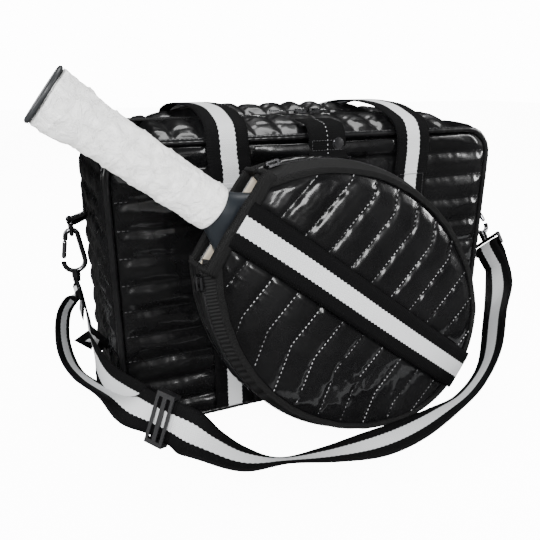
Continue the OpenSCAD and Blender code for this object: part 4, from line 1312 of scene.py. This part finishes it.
def grip_radius(x):
    """Radius of the wrapped handle: flared butt, a soft step, then an even shaft."""
    t = x - BUTT_X
    flare = 3.3 * (1 - smoothstep(24, 36, t)) * (0.72 + 0.28 * (1 - smoothstep(0, 26, t)))
    return GRIP_R + flare


def grip():
    """Wrapped handle: laps of a spiral wrap, fine folds and a finishing tape by the neck."""
    xs = np.arange(BUTT_X + 2.2, NECK_X0 + 1.5, 0.8)
    ang = np.linspace(0, 2 * math.pi, 96, endpoint=False)
    x, a = np.meshgrid(xs, ang, indexing="ij")
    turn = (x - BUTT_X) / WRAP_PITCH + a / (2 * math.pi)
    lap = turn % 1
    step = 0.8 * (1 - smoothstep(0.0, 0.1, lap)) * smoothstep(BUTT_X + 6, BUTT_X + 14, x)
    sag = 0.25 * np.sin(2 * math.pi * lap)
    cu, cv = np.cos(a) * 17, np.sin(a) * 17
    fold = fbm(x / 6 + cu / 16 + cv / 23, (cu - cv) / 12 + x / 30 + 9, 171) * 0.5
    crease = (ridged(x / 6 - cv / 12, cu / 18 + x / 60, 175) - 0.35) * 0.75
    tape = 0.55 * smoothstep(NECK_X0 - 13, NECK_X0 - 12, x)
    tape = tape * (1 - smoothstep(NECK_X0 - 0.4, NECK_X0 + 1.4, x) * 2.5)
    end = -2.2 * (1 - smoothstep(0, 3, x - xs[0])) - 1.6 * smoothstep(-2, 0, x - xs[-1])
    calm = 1 - 0.6 * smoothstep(NECK_X0 - 14, NECK_X0 - 11, x)
    r = grip_radius(x) + step + sag + (fold + crease) * calm + tape + end
    flat = 1 - 0.03 * np.cos(2 * a)
    pts = np.stack([x, r * np.cos(a), AXIS_Z + r * np.sin(a) * flat], -1)
    o = rod("grip_wrap_body", case_world(pts), np.stack([a * 17, x], -1) * MM, GRIP)
    return finish_piece(o, "paddle", "grip_wrap", "paddle_grip")


grip()


def butt():
    """End cap of the handle: dark rounded rim round a shallow disc, the disc painted paler grey as a highlight.
    """
    prof = [(3.4, 20.2), (2.6, 22.3), (1.2, 22.9), (0.0, 22.1), (-0.5, 20.9), (-0.35, 19.4)]
    disc = [(-0.35, 19.4), (0.25, 18.8), (0.3, 12.0), (0.15, 6.0), (0.1, 0.4)]
    parts = []
    for label, rows, mat in (("rim", prof, CAP), ("disc", disc, CAP_PAINTED_HIGHLIGHT)):
        ang = np.linspace(0, 2 * math.pi, 72, endpoint=False)
        pts = np.array([[(BUTT_X + x, r * math.cos(a), AXIS_Z + r * math.sin(a)) for a in ang]
                        for x, r in rows])
        back = pts[::-1].copy()
        back[..., 0] = BUTT_X + 3.4
        ring = np.concatenate([pts, back])
        n, m = ring.shape[:2]
        faces = grid_faces(n, m, wrap_u=True, wrap_v=True, flip=True)
        o = new_object(f"butt_{label}", case_world(ring).reshape(-1, 3), faces, None, mat)
        parts.append(o)
    finish_piece(parts[0], "paddle", "slate", "paddle_butt_cap")
    finish_piece(parts[1], "paddle", "slate")


butt()


def neck():
    """Throat of the paddle, widening from the round handle to the flat face."""
    xs = np.linspace(NECK_X0 - 1.5, NECK_X1, 34)
    ang = np.linspace(0, 2 * math.pi, 80, endpoint=False)
    rows = []
    for x in xs:
        t = (x - NECK_X0) / (NECK_X1 - NECK_X0)
        e = smoothstep(0, 1, np.float64(t))
        a = 17.2 + (40 - 17.2) * (0.55 * max(t, 0) + 0.45 * e)
        b = 16.9 - 4.9 * e
        power = 1.0 - 0.62 * e
        c, s = np.cos(ang), np.sin(ang)
        rows.append(np.stack([0 * ang + x, a * np.sign(c) * np.abs(c) ** power,
                              AXIS_Z + b * np.sign(s) * np.abs(s) ** power], -1))
    o = rod("paddle_throat", case_world(rows), None, SLATE)
    return finish_piece(o, "paddle", "slate", "paddle_neck")


neck()

# ---------------------------------------------------------------- finishes of the CAD hardware

FINISHES = [
    (GUNMETAL, "gunmetal", ["main_slider_right", "main_slider_left", "main_puller_right", "main_puller_left",
                            "hanger_ring", "left_ring", "right_ring", "left_hook", "right_hook",
                            "case_slider_upper", "case_slider_lower"]),
    (BLACKENED, "gunmetal", ["left_eye", "right_eye"]),
    (BRIGHT, "gunmetal", ["left_gate", "right_gate", "hanger_snap"]),
    (EDGE, "edge", ["strap_adjuster", "paddle_edge_guard"]),
    (FACE, "slate", ["paddle_face"]),
]


def finish_hardware(node, material):
    """Gives a CAD body its finish; metal gets softened edges, and hook wire a little more body."""
    o = frame["nodes"][node]
    o.data.materials.clear()
    o.data.materials.append(material)
    if node.startswith("paddle"):
        return
    if node.endswith(("hook", "gate")):
        fuller = o.modifiers.new("fuller_wire", "DISPLACE")
        fuller.strength, fuller.mid_level = 0.0005, 0.0
    bevel = o.modifiers.new("soft_edges", "BEVEL")
    bevel.width, bevel.segments = 0.00025, 2
    bevel.limit_method, bevel.angle_limit = "ANGLE", math.radians(40)


for material, slot_name, nodes in FINISHES:
    for node in nodes:
        finish_hardware(node, material)

# ---------------------------------------------------------------- floor, light and camera

WHITE = 14.0  # strength that the camera sees as a white background
SKY_DIFFUSE, SKY_GLOSSY = 1.3, 0.004  # the same sky as it lights cloth, and as gloss mirrors it
FLOOR_GLOSSY = (0.012, 0.012, 0.012, 1)
FLOOR_HALF, FLOOR_Z = 6000, -0.6
LIGHTS = [  # name, place, aim, power, width and height, in metres and watts
    ("key_soft", (-0.9, -1.5, 1.35), (0, 0, 0.12), 40, 0.5, 0.9),
    ("back_soft", (0.7, 1.6, 0.3), (0, 0, 0.12), 9, 0.6, 0.4),
    ("top_soft", (0.25, 0.35, 1.5), (0, 0, 0.25), 9, 0.9, 0.5),
    ("right_strip", (1.5, -0.8, 0.75), (0.1, -0.1, 0.15), 13, 0.16, 0.9),
    ("left_strip", (-1.5, -0.1, 0.7), (-0.2, 0, 0.15), 10, 0.16, 0.9),
    ("front_low", (0.45, -1.7, 0.55), (0, -0.2, 0.1), 7, 0.35, 0.35),
]
SENSOR, LENS = 36, 37.33
CAMERA_AZ, CAMERA_EL = math.radians(23.5), math.radians(19.1)


def turn_to(o, direction):
    """Points a lamp or camera and puts it in the scene."""
    o.rotation_euler = direction.to_track_quat("-Z", "Y").to_euler()
    bpy.context.scene.collection.objects.link(o)


def lay_floor():
    """Pale floor that the camera sees as white and that stays dark in the gloss of the shell."""
    corners = [(-1, -1), (1, -1), (1, 1), (-1, 1)]
    floor = new_object("floor", [(x * FLOOR_HALF, y * FLOOR_HALF, FLOOR_Z) for x, y in corners], [(0, 1, 2, 3)])
    n = Nodes("floor_pale")
    speck = n.noise(n.coords(), 8, 4)
    ray = n.add("LightPath")
    tone = n.ramp(speck, [(0.3, (0.93, 0.93, 0.93)), (0.7, (0.95, 0.95, 0.95))])
    dim = n.add("Mix", {"Factor": ray.outputs["Is Glossy Ray"]}, data_type="RGBA")
    n.put(dim.inputs[6], tone)
    n.put(dim.inputs[7], FLOOR_GLOSSY)
    n.set(Base_Color=dim.outputs[2], Roughness=0.8, Normal=n.bump(speck, 0.02, 0.0005),
          Emission_Color=(1, 1, 1, 1),
          Emission_Strength=n.math("MULTIPLY", ray.outputs["Is Camera Ray"], WHITE * 0.8))
    floor.data.materials.append(n.mat)


def hang_sky():
    """White sky, one strength for each kind of ray."""
    world = bpy.data.worlds.new("studio")
    bpy.context.scene.world = world
    world.use_nodes = True
    t = world.node_tree
    sky = t.nodes["Background"]
    ray = t.nodes.new("ShaderNodeLightPath")
    seen = t.nodes.new("ShaderNodeMix")
    seen.inputs["B"].default_value = WHITE
    glossy = t.nodes.new("ShaderNodeMix")
    glossy.inputs["A"].default_value = SKY_DIFFUSE
    glossy.inputs["B"].default_value = SKY_GLOSSY
    t.links.new(ray.outputs["Is Glossy Ray"], glossy.inputs["Factor"])
    t.links.new(glossy.outputs["Result"], seen.inputs["A"])
    t.links.new(ray.outputs["Is Camera Ray"], seen.inputs["Factor"])
    t.links.new(seen.outputs["Result"], sky.inputs["Strength"])
    sky.inputs["Color"].default_value = (1, 1, 1, 1)


def place_lights():
    """Soft lamps, hidden from the camera."""
    for name, place, aim, power, wide, high in LIGHTS:
        data = bpy.data.lights.new(name, "AREA")
        data.shape, data.size, data.size_y, data.energy = "RECTANGLE", wide, high, power
        lamp = bpy.data.objects.new(name, data)
        lamp.location = place
        lamp.visible_camera = False
        turn_to(lamp, Vector(aim) - Vector(place))


def place_camera():
    """Camera at the angle of the reference picture."""
    cam = bpy.data.cameras.new("camera")
    cam.sensor_width, cam.lens = SENSOR, LENS
    cam.clip_start, cam.clip_end = 0.01, 50
    camera = bpy.data.objects.new("camera", cam)
    camera.location = EYE
    ahead = math.cos(CAMERA_EL)
    turn_to(camera, Vector((math.sin(CAMERA_AZ) * ahead, math.cos(CAMERA_AZ) * ahead, -math.sin(CAMERA_EL))))
    bpy.context.scene.camera = camera


lay_floor()
hang_sky()
place_lights()
place_camera()
